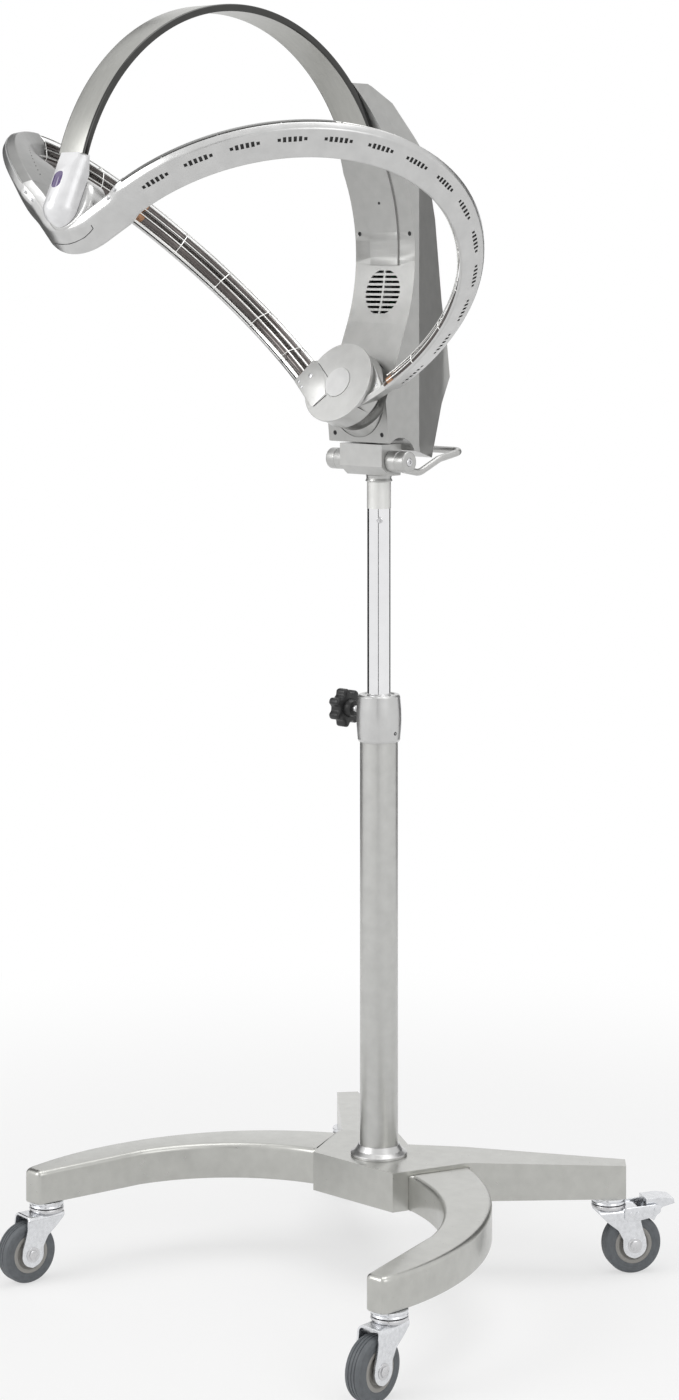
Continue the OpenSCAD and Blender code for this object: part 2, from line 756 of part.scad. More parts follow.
// One barrel with the lug that carries the body
module one_barrel() {
    inner = block_half_w + barrel_gap;
    difference() {
        union() {
            translate([inner, tilt_y, tilt_z]) rotate([0, 90, 0]) cylinder(r = barrel_r, h = barrel_end - inner);
            translate([inner, tilt_y, tilt_z]) intersection() {
                cube([lug_half_w, barrel_r, relief_r]);
                rotate([0, 90, 0]) cylinder(r = relief_r - seat_gap, h = lug_half_w);
            }
        }
        translate([inner - over, tilt_y, tilt_z]) rotate([0, 90, 0])
            cylinder(r = tilt_shaft_r + run_gap, h = shaft_end - inner + over + free_gap);
        translate([barrel_end - cap_screw_h, tilt_y, tilt_z]) rotate([0, 90, 0]) cylinder(r = cap_screw_r, h = barrel_end);
        side_plane() handle_run(0, bar_r + seat_gap / 2);
    }
}

module tilt_barrels() {
    color([0.76, 0.76, 0.75]) for (s = [0, 1]) mirror([s, 0, 0]) one_barrel();
}

module barrel_screws() {
    color([0.6, 0.6, 0.58]) for (s = [0, 1]) mirror([s, 0, 0])
        translate([barrel_end - cap_screw_h, tilt_y, tilt_z]) rotate([0, 90, 0]) difference() {
            cylinder(r = cap_screw_r, h = cap_screw_h + cap_screw_stand);
            translate([0, 0, cap_screw_h]) cylinder(r = cap_screw_r * 0.45, h = cap_screw_h, $fn = 6);
        }
}

// The handle's route on the right as [y, z]: from the barrel's underside back and up to its rear corner
handle_route = [
    [tilt_y + handle_in_y, tilt_z - handle_in_down],
    [tilt_y + handle_dip_y, tilt_z - handle_dip],
    [tilt_y + handle_rise_y, tilt_z],
    [handle_back - handle_bend, tilt_z + handle_up]];

function heading(p, q) = atan2(q[1] - p[1], q[0] - p[0]);
function turn_at(k) = heading(handle_route[k], handle_route[k + 1]) - heading(handle_route[k - 1], handle_route[k]);
function turn_reach(k) = k == 0 ? bend_lap : k == 3 ? 0 : handle_turn_r * tan(abs(turn_at(k)) / 2);

// Straight length of bar from corner k to the next, its ends just inside the bends
module handle_run(k, r) {
    p = handle_route[k];
    q = handle_route[k + 1];
    start = turn_reach(k) - bend_lap;
    translate([p[0], p[1], 0]) rotate([0, 0, heading(p, q)]) translate([start, 0, 0]) rotate([0, 90, 0])
        cylinder(r = r, h = norm(q - p) - start - turn_reach(k + 1) + bend_lap);
}

// Bent length of bar at corner k
module handle_turn(k) {
    from = heading(handle_route[k - 1], handle_route[k]);
    side = turn_at(k) > 0 ? 1 : -1;
    reach = turn_reach(k);
    translate([handle_route[k][0], handle_route[k][1], 0]) rotate([0, 0, from]) translate([-reach, side * handle_turn_r, 0])
        rotate([0, 0, side > 0 ? -90 : 90 + turn_at(k)]) rotate_extrude(angle = abs(turn_at(k)))
            translate([handle_turn_r, 0]) circle(r = bar_r * bend_share, $fn = 24);
}

module side_plane() {
    translate([handle_half_w, 0, 0]) rotate([90, 0, 90]) children();
}

module push_handle() {
    last = handle_route[3];
    rise = heading(handle_route[2], last);
    color([0.7, 0.7, 0.69]) {
        for (s = [0, 1]) mirror([s, 0, 0]) {
            side_plane() for (k = [0 : 2]) handle_run(k, bar_r);
            side_plane() for (k = [1, 2]) handle_turn(k);
            translate([handle_half_w - handle_bend, last[0], last[1]]) rotate([rise, 0, 0]) rotate_extrude(angle = 90)
                translate([handle_bend, 0]) circle(r = bar_r * bend_share, $fn = 24);
        }
        translate([-handle_half_w + handle_bend - bend_lap, last[0], last[1]]) rotate([rise, 0, 0])
            translate([0, handle_bend, 0]) rotate([0, 90, 0]) cylinder(r = bar_r, h = 2 * (handle_half_w - handle_bend + bend_lap));
    }
}

// Outline of the body from the side, drawn in by a wall, as [behind the axis, height]
module body_side(wall) {
    difference() {
        polygon(concat(
            [[chin_y + wall, body_low_z + wall], [knee_y + wall, knee_z], [slope_top_y + wall, slope_top_z],
             [inner_front_y, slope_top_z], [inner_front_y, body_top_z - wall]],
            [for (k = [0 : len(back_line) - 1]) back_line[k] + wall * back_in_share[k]]));
        translate([front_cy, front_cz]) circle(r = front_r + wall, $fn = 240);
        translate([arch_cy, arch_cz]) circle(r = arch_r + seat_gap + wall, $fn = 240);
        translate([tilt_y, tilt_z]) circle(r = relief_r + wall, $fn = 96);
    }
}

// Half of the body's outline from the front, drawn in by a wall
module body_face(wall) {
    w = body_half_w - wall;
    t = top_half_w - wall;
    polygon([[-w + over * 4, body_low_z - relief_r], [w - over * 4, body_low_z - relief_r], [w, body_low_z + relief_r * 0.2],
        [w, shoulder_z], [t, body_top_z], [-t, body_top_z], [-w, shoulder_z], [-w, body_low_z + relief_r * 0.2]]);
}

// The body's outline from above, drawn in by a wall
module body_plan(wall) {
    w = body_half_w - wall;
    polygon([[-w, inner_front_y - over], [w, inner_front_y - over], [w - over, part_y],
        [rear_corner_half_w - wall * 0.6, rear_corner_y - wall], [rear_half_w - wall, body_back_y],
        [-rear_half_w + wall, body_back_y], [-rear_corner_half_w + wall * 0.6, rear_corner_y - wall],
        [-w + over, part_y]]);
}

module body_solid(wall) {
    intersection() {
        translate([-body_half_w - over, 0, 0]) rotate([90, 0, 90])
            linear_extrude(height = 2 * (body_half_w + over)) body_side(wall);
        rotate([90, 0, 0]) linear_extrude(height = 4 * body_back_y, center = true) body_face(wall);
        translate([0, 0, body_low_z - 2 * relief_r]) linear_extrude(height = body_top_z - body_low_z + 3 * relief_r)
            body_plan(wall);
    }
}

module body_outer() body_solid(0);

// Side view of everything ahead of the parting face
module front_region(shift) {
    polygon([[inner_front_y * 2, body_low_z - 3 * relief_r], [part_y + shift, body_low_z - 3 * relief_r],
        [part_y + shift, shoulder_z], [back_line[0][0] + shift, body_top_z + over],
        [inner_front_y * 2, body_top_z + over]]);
}

module keep_front(shift) {
    translate([-2 * body_half_w, 0, 0]) rotate([90, 0, 90]) linear_extrude(height = 4 * body_half_w) front_region(shift);
}

module body_shell() {
    difference() {
        body_solid(0);
        body_solid(cover_wall);
    }
}

// Places of the cover screws, each as [side, ahead of the axis, height, slope of the face there]
module at_cover_screws() {
    for (s = [-1, 1]) {
        translate([s * upper_screw_x, front_face_y(upper_screw_z), upper_screw_z]) rotate([90, 0, 0]) children();
        translate([s * lower_screw_x, chin_face_y(lower_screw_z), lower_screw_z]) rotate([90, 0, 0]) children();
    }
}

function front_face_y(z) = front_cy + sqrt(front_r * front_r - (z - front_cz) * (z - front_cz));
function chin_face_y(z) = chin_y + (knee_y - chin_y) * (z - body_low_z) / (knee_z - body_low_z);

// The bowl's outline about the ring's axis, as [radius, along the axis]
module bowl_outline(grow) {
    polygon([[0, bowl_back_s - grow], [bowl_root_r + grow, bowl_back_s - grow], [bowl_root_r + grow, bowl_root_s],
        [bowl_rim_r + grow, bowl_rim_s + grow], [0, bowl_rim_s + grow]]);
}

module body_front_cover() {
    color([0.68, 0.68, 0.67]) difference() {
        union() {
            intersection() {
                body_shell();
                keep_front(-seat_gap / 2);
            }
            // Moulded end of the raised panel, tapering away below the seam
            difference() {
                intersection() {
                    panel_slice(panel_low_z, panel_seam_z - seat_gap, panel_half_w);
                    translate([0, 0, panel_low_z]) rotate([90, 0, 0]) linear_extrude(height = 2 * front_r, center = true)
                        polygon([[-panel_half_w * 0.96, 0], [panel_half_w * 0.96, 0],
                            [panel_half_w, panel_seam_z - panel_low_z], [-panel_half_w, panel_seam_z - panel_low_z]]);
                }
            }
            // Wall round the recess that holds the bowl
            intersection() {
                body_solid(0);
                ring_frame() translate([0, 0, bowl_root_s]) cylinder(r = bowl_root_r + seat_gap / 2 + cover_wall, h = -bowl_root_s);
            }
            for (s = [-1, 1]) translate([s * (fan_half - post_r), fan_front_y + seat_gap, grille_z + fan_half + post_r])
                rotate([90, 0, 0]) cylinder(r = post_r, h = fan_front_y - front_face_y(grille_z + fan_half + post_r));
        }
        // Grille: short level slots inside a circle, either side of a rib
        intersection() {
            translate([0, fan_front_y, grille_z]) rotate([90, 0, 0]) cylinder(r = grille_r, h = 2 * fan_depth);
            for (k = [0 : grille_slots - 1]) for (s = [-1, 1])
                translate([s > 0 ? grille_rib / 2 : -grille_r - grille_rib / 2, -grille_r,
                    grille_z + (k - (grille_slots - 1) / 2) * 2 * grille_r / grille_slots - grille_slot_h / 2])
                    cube([grille_r, fan_front_y + grille_r, grille_slot_h]);
        }
        at_cover_screws() translate([0, 0, -screw_depth]) cylinder(r = screw_r + seat_gap / 2, h = 3 * screw_depth);
        ring_frame() translate([0, 0, bowl_back_s - seat_gap / 2])
            cylinder(r = bowl_root_r + seat_gap / 2, h = -bowl_back_s);
    }
}

module body_rear_cover() {
    color([0.62, 0.62, 0.61]) difference() {
        union() {
            difference() {
                body_shell();
                keep_front(seat_gap / 2);
            }
            // Ribs that carry the control board
            for (s = [-1, 1]) translate([s * board_half_w * 0.6 - post_r, board_y + board_t + seat_gap, board_low_z + board_h / 2])
                cube([2 * post_r, back_line[6][0] - cover_wall - board_y - board_t, 2 * post_r]);
        }
        translate([0, back_line[9][0], gland_z]) rotate([90, 0, 0])
            cylinder(r = gland_r * 0.7 + seat_gap, h = 4 * gland_len, center = true);
    }
}

// A slice of the raised panel between two heights
module panel_slice(z0, z1, half_w) {
    intersection() {
        translate([-half_w * 2, 0, 0]) rotate([90, 0, 90]) linear_extrude(height = 4 * half_w) difference() {
            translate([front_cy, front_cz]) circle(r = front_r, $fn = 240);
            translate([front_cy, front_cz]) circle(r = front_r - panel_t, $fn = 240);
        }
        translate([-2 * half_w, front_cy + front_r / 4, z0]) cube([4 * half_w, front_r, z1 - z0]);
    }
}

module body_centre_panel() {
    top = arch_cz + (arch_r - arch_t) * sin(arch_rear_a);
    color([0.7, 0.7, 0.69]) difference() {
        intersection() {
            panel_slice(panel_seam_z, top - seat_gap, panel_half_w * 1.2);
            translate([0, 0, panel_seam_z]) rotate([90, 0, 0]) linear_extrude(height = 2 * front_r, center = true)
                polygon([[-panel_half_w, 0], [panel_half_w, 0], [arch_rear_half_w, top - panel_seam_z],
                    [-arch_rear_half_w, top - panel_seam_z]]);
        }
        translate([0, front_face_y(small_screw_zs[0]), small_screw_zs[0]]) rotate([90, 0, 0])
            cylinder(r = small_screw_r + seat_gap / 2, h = 4 * panel_t, center = true);
        translate([-panel_half_w * 2, arch_cy, arch_cz]) rotate([0, 90, 0])
            cylinder(r = arch_r + seat_gap, h = panel_half_w * 4, $fn = 240, center = false);
    }
}

module cover_screws() {
    color([0.08, 0.08, 0.08]) at_cover_screws() translate([0, 0, -screw_depth]) difference() {
        cylinder(r = screw_r, h = screw_depth * 0.8);
        translate([0, 0, screw_depth * 0.4]) cylinder(r = screw_r * 0.5, h = screw_depth, $fn = 6);
    }
    color([0.5, 0.5, 0.5]) translate([0, front_face_y(small_screw_zs[0] + small_screw_r) - seat_gap, small_screw_zs[0]])
        rotate([90, 0, 0]) cylinder(r = small_screw_r, h = panel_t);
}

module fan_frame() {
    color([0.12, 0.12, 0.12]) translate([0, fan_front_y + seat_gap, grille_z]) difference() {
        translate([-fan_half, 0, -fan_half]) cube([2 * fan_half, fan_depth, 2 * fan_half + 2 * post_r * 0.9]);
        translate([0, -over, 0]) rotate([-90, 0, 0]) cylinder(r = fan_r + free_gap, h = fan_depth + 2 * over);
    }
    color([0.12, 0.12, 0.12]) translate([0, fan_front_y + seat_gap + fan_depth - 2 * over, grille_z]) {
        for (a = [45, 135, 225, 315]) rotate([0, a, 0]) translate([0, 0, -over]) cube([fan_half, 2 * over, 2 * over]);
        rotate([90, 0, 0]) cylinder(r = fan_pin_r, h = fan_depth - 5 * over - free_gap);
        rotate([-90, 0, 0]) cylinder(r = fan_hub_r * 0.8, h = 2 * over);
    }
}

module fan_rotor() {
    blade_len = fan_r - fan_hub_r;
    deep = fan_depth - 6 * over;
    color([0.1, 0.1, 0.1]) translate([0, fan_front_y + seat_gap + 2 * over, grille_z]) rotate([-90, 0, 0]) difference() {
        union() {
            cylinder(r = fan_hub_r, h = deep);
            for (k = [0 : fan_blades - 1]) rotate([0, 0, k * 360 / fan_blades])
                translate([fan_hub_r - over, 0, deep / 2]) rotate([38, 0, 0])
                    translate([0, -deep / 2, -over / 2]) cube([blade_len + over * 0.4, deep, over]);
        }
        translate([0, 0, over]) cylinder(r = fan_pin_r + run_gap, h = fan_depth);
    }
}

module ring_motor() {
    back_s = bowl_back_s - seat_gap;
    color([0.35, 0.35, 0.36]) ring_frame() translate([0, 0, back_s - motor_len]) difference() {
        union() {
            cylinder(r = motor_r, h = motor_len * 0.5);
            cylinder(r = motor_r * 0.86, h = motor_len);
        }
        translate([0, 0, motor_len - 3 * motor_gap]) cylinder(r = ring_shaft_r + free_gap, h = motor_len);
    }
}

module control_board() {
    color([0.1, 0.35, 0.16]) translate([-board_half_w, board_y, board_low_z]) cube([2 * board_half_w, board_t, board_h]);
    color([0.12, 0.12, 0.12]) for (k = [0 : 2])
        translate([-board_half_w * 0.7, board_y - 5 * board_t, board_low_z + board_h * (k + 0.5) / 3 - board_h * 0.1])
            cube([board_half_w * 0.4 * (k + 1), 5 * board_t, board_h * 0.14]);
}

// Gland in the rear cover, where the power lead would enter
module cable_gland() {
    y = back_line[9][0] - (back_line[9][1] - gland_z) * (back_line[9][0] - back_line[10][0])
        / (back_line[9][1] - back_line[10][1]);
    color([0.08, 0.08, 0.08]) translate([0, y, gland_z]) rotate([-90, 0, 0]) difference() {
        union() {
            translate([0, 0, over * 5]) cylinder(r = gland_r, h = gland_len - over * 5);
            translate([0, 0, -cover_wall * 3]) cylinder(r = gland_r * 0.7, h = gland_len);
        }
        translate([0, 0, -4 * cover_wall]) cylinder(r = gland_bore_r, h = 3 * gland_len);
    }
}

// Fixed bowl on the body's foot that carries the ring's lower shaft
module pivot_bowl() {
    color([0.7, 0.7, 0.69]) difference() {
        ring_frame() rotate_extrude() bowl_section();
        translate([-2 * bowl_root_r, tilt_y, tilt_z]) rotate([0, 90, 0])
            cylinder(r = relief_r + cover_wall + seat_gap, h = 4 * bowl_root_r);
    }
}

module bowl_section() {
    difference() {
        union() {
            bowl_outline(0);
            translate([0, bowl_floor_s]) square([boss_r, bowl_front_s - bowl_floor_s]);
        }
        polygon([[boss_r, bowl_floor_s], [boss_r + over, bowl_floor_s], [bowl_dish_r, bowl_rim_s + over],
            [boss_r, bowl_rim_s + over]]);
        translate([0, bowl_back_s - over]) square([ring_shaft_r + run_gap, -bowl_back_s]);
    }
}

// Arch

// Ring sector in the middle plane, from the front end to the rear end
module arch_band() {
    color([0.66, 0.66, 0.64]) difference() {
        intersection() {
            translate([-arch_rear_half_w * 2, arch_cy, arch_cz]) rotate([90, 0, 90]) rotate([0, 0, arch_rear_a])
                rotate_extrude(angle = arch_front_a - arch_rear_a, $fn = 240)
                    translate([arch_r - arch_t, 0]) square([arch_t, 4 * arch_rear_half_w]);
            // Narrower towards the front end
            translate([0, 0, arch_cz - arch_r]) linear_extrude(height = 3 * arch_r) polygon([
                [-arch_front_half_w, arch_cy - arch_r], [arch_front_half_w, arch_cy - arch_r],
                [arch_rear_half_w, arch_cy + arch_r], [-arch_rear_half_w, arch_cy + arch_r]]);
        }
        // The front end stands on the end cap's top
        ring_frame() translate([-arch_r, cap_top_w + seat_gap - arch_r, 0]) cube([2 * arch_r, arch_r, 2 * hub_front_s]);
        at_button() translate([0, 0, -over]) cylinder(r = button_r * 0.6 + run_gap, h = arch_t * 0.7 + over);
    }
}

module at_button() {
    translate([button_x, arch_cy, arch_cz]) rotate([button_a, 0, 0]) translate([0, arch_r - arch_t, 0])
        rotate([-90, 0, 0]) children();
}

// Side view of the cap in the ring's frame, as [up and back, along the axis]
module cap_side(inset) {
    polygon([[-cap_r - over, cap_back_s], [cap_top_w - cap_r, cap_back_s], [cap_top_w, cap_top_back_s],
        [cap_top_w, cap_top_front_s - inset], [cap_top_w * 0.45, cap_front_s - inset],
        [-cap_r - over, cap_front_s - inset]]);
}

module cap_solid(inset) {
    intersection() {
        union() {
            translate([0, 0, cap_round_s]) rotate([-90, 0, 0]) cylinder(r = cap_r - inset, h = 2 * cap_top_w);
            translate([0, 0, cap_round_s]) sphere(r = cap_r - inset);
            translate([0, 0, cap_back_s]) cylinder(r = cap_r - inset, h = cap_round_s - cap_back_s);
            translate([-cap_r + inset, 0, cap_back_s])
                cube([2 * (cap_r - inset), 2 * cap_top_w, cap_round_s - cap_back_s]);
        }
        translate([-cap_r - over, 0, 0]) multmatrix_side() linear_extrude(height = 2 * (cap_r + over)) cap_side(inset);
    }
}

// Turns a drawing of [up and back, along the axis] to stand across the ring's frame
module multmatrix_side() {
    rotate([90, 0, 90]) children();
}

module arch_end_cap() {
    color([0.9, 0.9, 0.9]) ring_frame() difference() {
        cap_solid(0);
        translate([0, 0, cap_back_s - over]) cylinder(r = front_pin_r + seat_gap / 2, h = pin_head_s - cap_back_s + over);
        translate([0, window_w, cap_front_s - window_t]) window_plan_solid(seat_gap / 2);
    }
}

// Oval of the sensor window, a slot with round ends
module window_plan_solid(grow) {
    linear_extrude(height = 4 * window_t) {
        translate([0, window_half_h - window_rx]) circle(r = window_rx + grow);
        translate([0, -window_half_h + window_rx]) circle(r = window_rx + grow);
        translate([-window_rx - grow, -window_half_h + window_rx])
            square([2 * (window_rx + grow), 2 * (window_half_h - window_rx)]);
    }
}

module sensor_window() {
    color([0.25, 0.12, 0.4]) ring_frame() intersection() {
        translate([0, window_w, cap_front_s - window_t]) window_plan_solid(0);
        cap_solid(seat_gap);
    }
}

module front_pivot_pin() {
    color([0.6, 0.6, 0.62]) ring_frame() translate([0, 0, pin_back_s])
        cylinder(r = front_pin_r, h = pin_head_s - pin_back_s);
}

module arch_button() {
    color([0.6, 0.6, 0.6]) at_button() {
        translate([0, 0, -button_travel - over * 2]) cylinder(r = button_r, h = 2 * over);
        translate([0, 0, -button_travel - over]) cylinder(r = button_r * 0.6, h = arch_t * 0.6);
    }
}

// Ring

// Drum and disc that turn on the body's foot, with a bracket to each arm
module pivot_drum() {
    color([0.68, 0.68, 0.67]) difference() {
        union() {
            ring_frame() {
                translate([0, 0, -drum_depth]) cylinder(r = disc_r - 2 * disc_lip, h = drum_depth - over * 4);
                translate([0, 0, -4 * over]) cylinder(r = disc_r, h = 4 * over);
                translate([0, 0, bowl_back_s]) cylinder(r = ring_shaft_r, h = -bowl_back_s - over);
            }
            for (s = [-1, 1]) difference() {
                arm_side(s) arm_sweep(arm_end_a + seat_gap * 0.3, 180 + hub_run_a) arm_block();
                ring_frame() translate([s > 0 ? -disc_r * 2 : 0, -disc_r * 2, -disc_r * 2])
                    cube([disc_r * 2, disc_r * 4, disc_r * 4]);
                ring_frame() translate([0, 0, -drum_depth - disc_r]) cylinder(r = disc_r * 3, h = disc_r);
                ring_frame() translate([0, 0, 0]) cylinder(r = disc_r * 3, h = disc_r);
            }
        }
        ring_frame() translate([0, 0, -over * 2]) cylinder(r = disc_cap_r + seat_gap / 2, h = disc_r);
    }
}
hub_run_a = 13;

module pivot_disc_cap() {
    color([0.7, 0.7, 0.69]) ring_frame() translate([0, 0, -over * 2]) {
        cylinder(r = disc_cap_r, h = over * 2.5);
    }
}

// Sections of an arm, in its own [outward, towards the vented side]

// Whole section, for the solid ends
module arm_block() {
    polygon([pA, pB, pC, pC + face_in_share * guard_stand * 0.5, pA + strip_in_share * guard_stand]);
}

// Folded skin with a rim at the upper edge and a lip at the lower edge
module arm_skin() {
    inA = pA + strip_in_share * skin_t;
    inB = pB + corner_in_share * skin_t / 1.1;
    inC = pC + face_in_share * skin_t;
    rimA = pA + open_dir * rim_w;
    lipC = pC - open_dir * lip_w;
    polygon([pA, pB, pC, pC + open_in * skin_t, lipC + open_in * skin_t * 0.2, inC - open_dir * 0, inB, inA + open_dir * 0,
        rimA, rimA + open_in * skin_t, pA + open_in * skin_t]);
}

// Middle layer of the skin, which carries it across the fine seam where its two curves meet
module arm_core() {
    q = skin_t * core_share;
    polygon([pA + strip_in_share * q + open_dir * q, pB + corner_in_share * q, pC + face_in_share * q - face_dir_share * q,
        pC + face_in_share * (skin_t - q) - face_dir_share * 2 * q, pB + corner_in_share * (skin_t - q) / 1.1,
        pA + strip_in_share * (skin_t - q) + open_dir * q]);
}

module arm_shell() {
    difference() {
        union() {
            arm_sweep(arm_start_a, arm_join_a - seam_half_a) arm_skin();
            arm_sweep(arm_join_a + seam_half_a, arm_end_a) arm_skin();
            on_arm_arc(arm_join_a - core_half_a, arm_join_a + core_half_a) arm_core();
        }
        for (g = [0 : vent_groups - 1]) for (k = [0 : vent_slots - 1]) vent_slot(g, k);
    }
}

// One slot: cut square to the vented face
module vent_slot(g, k) {
    a = vent_from_a + (vent_to_a - vent_from_a) * g / (vent_groups - 1) + (k - (vent_slots - 1) / 2) * slot_pitch_a;
    on_arm(a) translate([pC[0] * vent_share, 0, pC[1] * vent_share])
        rotate([0, atan2(-face_dir_share[1], face_dir_share[0]) + 180, 0])
            translate([-slot_h / 2, -slot_w / 2, -skin_t * 1.2]) cube([slot_h, slot_w, skin_t * 2.4]);
}

module left_arm_shell() color([0.8, 0.8, 0.79]) arm_side(-1) arm_shell();

module right_arm_shell() color([0.8, 0.8, 0.79]) arm_side(1) arm_shell();

// Bright trough behind the lamps
module reflector_section() {
    away = skin_t + reflector_gap;
    a0 = pA + open_dir * rim_w + open_in * (skin_t + seat_gap);
    m1 = pB + face_in_share * (away + reflector_t) + face_dir_share * face_w * 0.2;
    m2 = pB + face_in_share * (away + reflector_t) + face_dir_share * face_w * 0.9;
    c0 = pC + open_in * (skin_t + seat_gap) - open_dir * (lip_w + wire_r);
    polygon([a0, m1 - face_in_share * reflector_t, m2 - face_in_share * reflector_t, c0,
        c0 + open_in * reflector_t, m2, m1, a0 + open_in * reflector_t]);
}

module ring_reflectors() {
    color([0.9, 0.9, 0.92]) for (s = [-1, 1]) arm_side(s) {
        arm_sweep(arm_start_a + 0.5, arm_join_a - seam_half_a) reflector_section();
        arm_sweep(arm_join_a + seam_half_a, arm_end_a - 0.5) reflector_section();
    }
}

function lamp_at(k) = pA + open_dir * opening * lamp_share[k] + open_in * lamp_stand;
function guard_at(k) = pA + open_dir * (opening * (k + 0.25) / (guard_wires - 0.5))
    + open_in * guard_stand * (1 - pow(abs(2 * k / (guard_wires - 1) - 1), 4) * guard_droop_share);

module ring_lamps() {
    color([0.25, 0.22, 0.22]) for (s = [-1, 1]) arm_side(s) for (k = [0, 1]) {
        arm_sweep(lamp_from_a, arm_join_a - lamp_mid_a) translate(lamp_at(k)) circle(r = lamp_r, $fn = 32);
        arm_sweep(arm_join_a + lamp_mid_a, lamp_to_a) translate(lamp_at(k)) circle(r = lamp_r, $fn = 32);
    }
}

// Long wires that follow the arm, tied by hoops from rim to lip
module ring_guards() {
    color([0.92, 0.92, 0.9]) for (s = [-1, 1]) arm_side(s) {
        for (k = [0 : guard_wires - 1]) {
            arm_sweep(arm_start_a + guard_end_a, arm_join_a - guard_split_a) translate(guard_at(k)) circle(r = wire_r, $fn = 8);
            arm_sweep(arm_join_a + guard_split_a, arm_end_a - guard_end_a) translate(guard_at(k)) circle(r = wire_r, $fn = 8);
        }
        for (a = hoop_at_a) on_arm(a)
                rotate([90, 0, 0]) linear_extrude(height = 2 * wire_r, center = true) hoop_plan();
    }
}

// A hoop from the rim over the wires to the lip
module hoop_plan() {
    outer = [for (k = [0 : guard_wires - 1]) guard_at(k) + open_in * wire_r];
    inner = [for (k = [guard_wires - 1 : -1 : 0]) guard_at(k) - open_in * wire_r];
    polygon(concat([pA + open_dir * wire_r + open_in * skin_t], outer,
        [pC - open_dir * wire_r + open_in * skin_t, pC - open_dir * 3 * wire_r + open_in * skin_t], inner,
        [pA + open_dir * 3 * wire_r + open_in * skin_t]));
}

// Ceramic ends of the lamps, at both ends of the arm and between its two lengths of lamp
module lamp_sockets() {
    color([0.72, 0.45, 0.32]) for (s = [-1, 1]) arm_side(s) for (k = [0, 1]) {
        arm_sweep(arm_start_a + socket_gap_a, lamp_from_a) translate(lamp_at(k)) circle(r = socket_r, $fn = 32);
        arm_sweep(arm_join_a - lamp_mid_a, arm_join_a - socket_gap_a / 8)
            translate(lamp_at(k)) circle(r = socket_r, $fn = 32);
        arm_sweep(arm_join_a + socket_gap_a / 8, arm_join_a + lamp_mid_a)
            translate(lamp_at(k)) circle(r = socket_r, $fn = 32);
        arm_sweep(lamp_to_a, arm_end_a - socket_gap_a) translate(lamp_at(k)) circle(r = socket_r, $fn = 32);
    }
}

// Rounded V at the front that joins both arms under the end cap
module ring_front_hub() {
    color([0.88, 0.88, 0.87]) difference() {
        union() {
            ring_frame() translate([0, pad_r + hub_bend_w - hub_bend_r, pin_back_s]) cylinder(r = pad_r, h = hub_front_s - pin_back_s);
            ring_frame() translate([0, hub_bend_w, 0]) rotate([0, 0, -90 - fold_a])
                rotate_extrude(angle = 2 * fold_a) translate([hub_bend_r, arm_cs + arm_r]) mirror([1, -1, 0]) arm_block();
            for (s = [-1, 1]) {
                arm_side(s) arm_sweep(-hub_lap_a, arm_start_a - seat_gap * 0.3) arm_block();
                arm_side(s) translate([hub_bend_out - 4 * over, arm_cs + arm_r, 0]) rotate([90, 0, 90])
                    linear_extrude(height = arm_cr - hub_bend_out + 8 * over) hub_core();
            }
        }
        ring_frame() translate([0, 0, pin_back_s - over]) cylinder(r = front_pin_r + run_gap, h = hub_front_s);
        ring_frame() translate([0, 0, hub_front_s]) cylinder(r = cap_top_w, h = hub_front_s);
    }
}

// The arm's section drawn in a little, for the straight run between bend and arm
module hub_core() {
    translate((pA + pC) / 2) scale(hub_core_share) translate(-(pA + pC) / 2) arm_block();
}

// Casters

module fork(at, braked) {
    color([0.8, 0.8, 0.82]) caster_frame(at) {
        difference() {
            union() {
                translate([0, 0, fork_top_z - fork_cap_h]) cylinder(r1 = race_r - over, r2 = race_r, h = fork_cap_h);
                translate([-race_r * 0.8, -fork_plate_half, fork_top_z - fork_cap_h - fork_t])
                    cube([race_r * 0.8 + trail + 4 * over, 2 * fork_plate_half, fork_t]);
                for (s = [-1, 1]) translate([0, s > 0 ? cheek_in : -cheek_in - fork_t, 0]) rotate([90, 0, 0])
                    mirror([0, 0, 1]) linear_extrude(height = fork_t) cheek_plan();
            }
            translate([0, 0, fork_top_z - 4 * fork_cap_h]) cylinder(r = king_r + run_gap, h = 6 * fork_cap_h);
        }
        // Axle bolt with its heads
        translate([trail, 0, wheel_r]) rotate([90, 0, 0]) {
            cylinder(r = axle_r, h = 2 * (fork_plate_half + 3 * over), center = true);
            for (s = [-1, 1]) translate([0, 0, s * (fork_plate_half + 1.5 * over)]) cylinder(r = axle_r * 1.7, h = 3 * over, center = true);
        }
        if (braked) for (s = [-1, 1]) translate([brake_x, s * (cheek_in + fork_t / 2), brake_z]) rotate([90, 0, 0])
            linear_extrude(height = fork_t, center = true) brake_arm_plan();
        if (braked) translate([brake_x, 0, brake_z]) rotate([90, 0, 0])
            cylinder(r = brake_pin_r, h = 2 * fork_plate_half, center = true);
    }
}

// Cheek from the side: wide under the race and narrow at the axle
module cheek_plan() {
    low = fork_top_z - fork_cap_h;
    polygon([[-race_r * 0.8, low], [trail + 4 * over, low], [trail + axle_r * 2, wheel_r], [trail + axle_r * 1.4, wheel_r - axle_r * 1.5],
        [trail - axle_r * 1.4, wheel_r - axle_r * 1.5], [trail - axle_r * 2.4, wheel_r + axle_r],
        [-race_r * 0.45, low - race_r * 0.9]]);
    translate([trail, wheel_r]) circle(r = axle_r * 2.2);
}

// Fixed arm that carries the brake's rivet, from the side
module brake_arm_plan() {
    r = brake_ear_r;
    polygon([[-brake_x + trail * 0.6, r], [-brake_x + trail * 0.6, -2 * r], [-brake_x + 1.3 * trail, -2 * r],
        [0, -r], [r * 0.8, -r * 0.6], [r, 0], [r * 0.6, r]]);
}

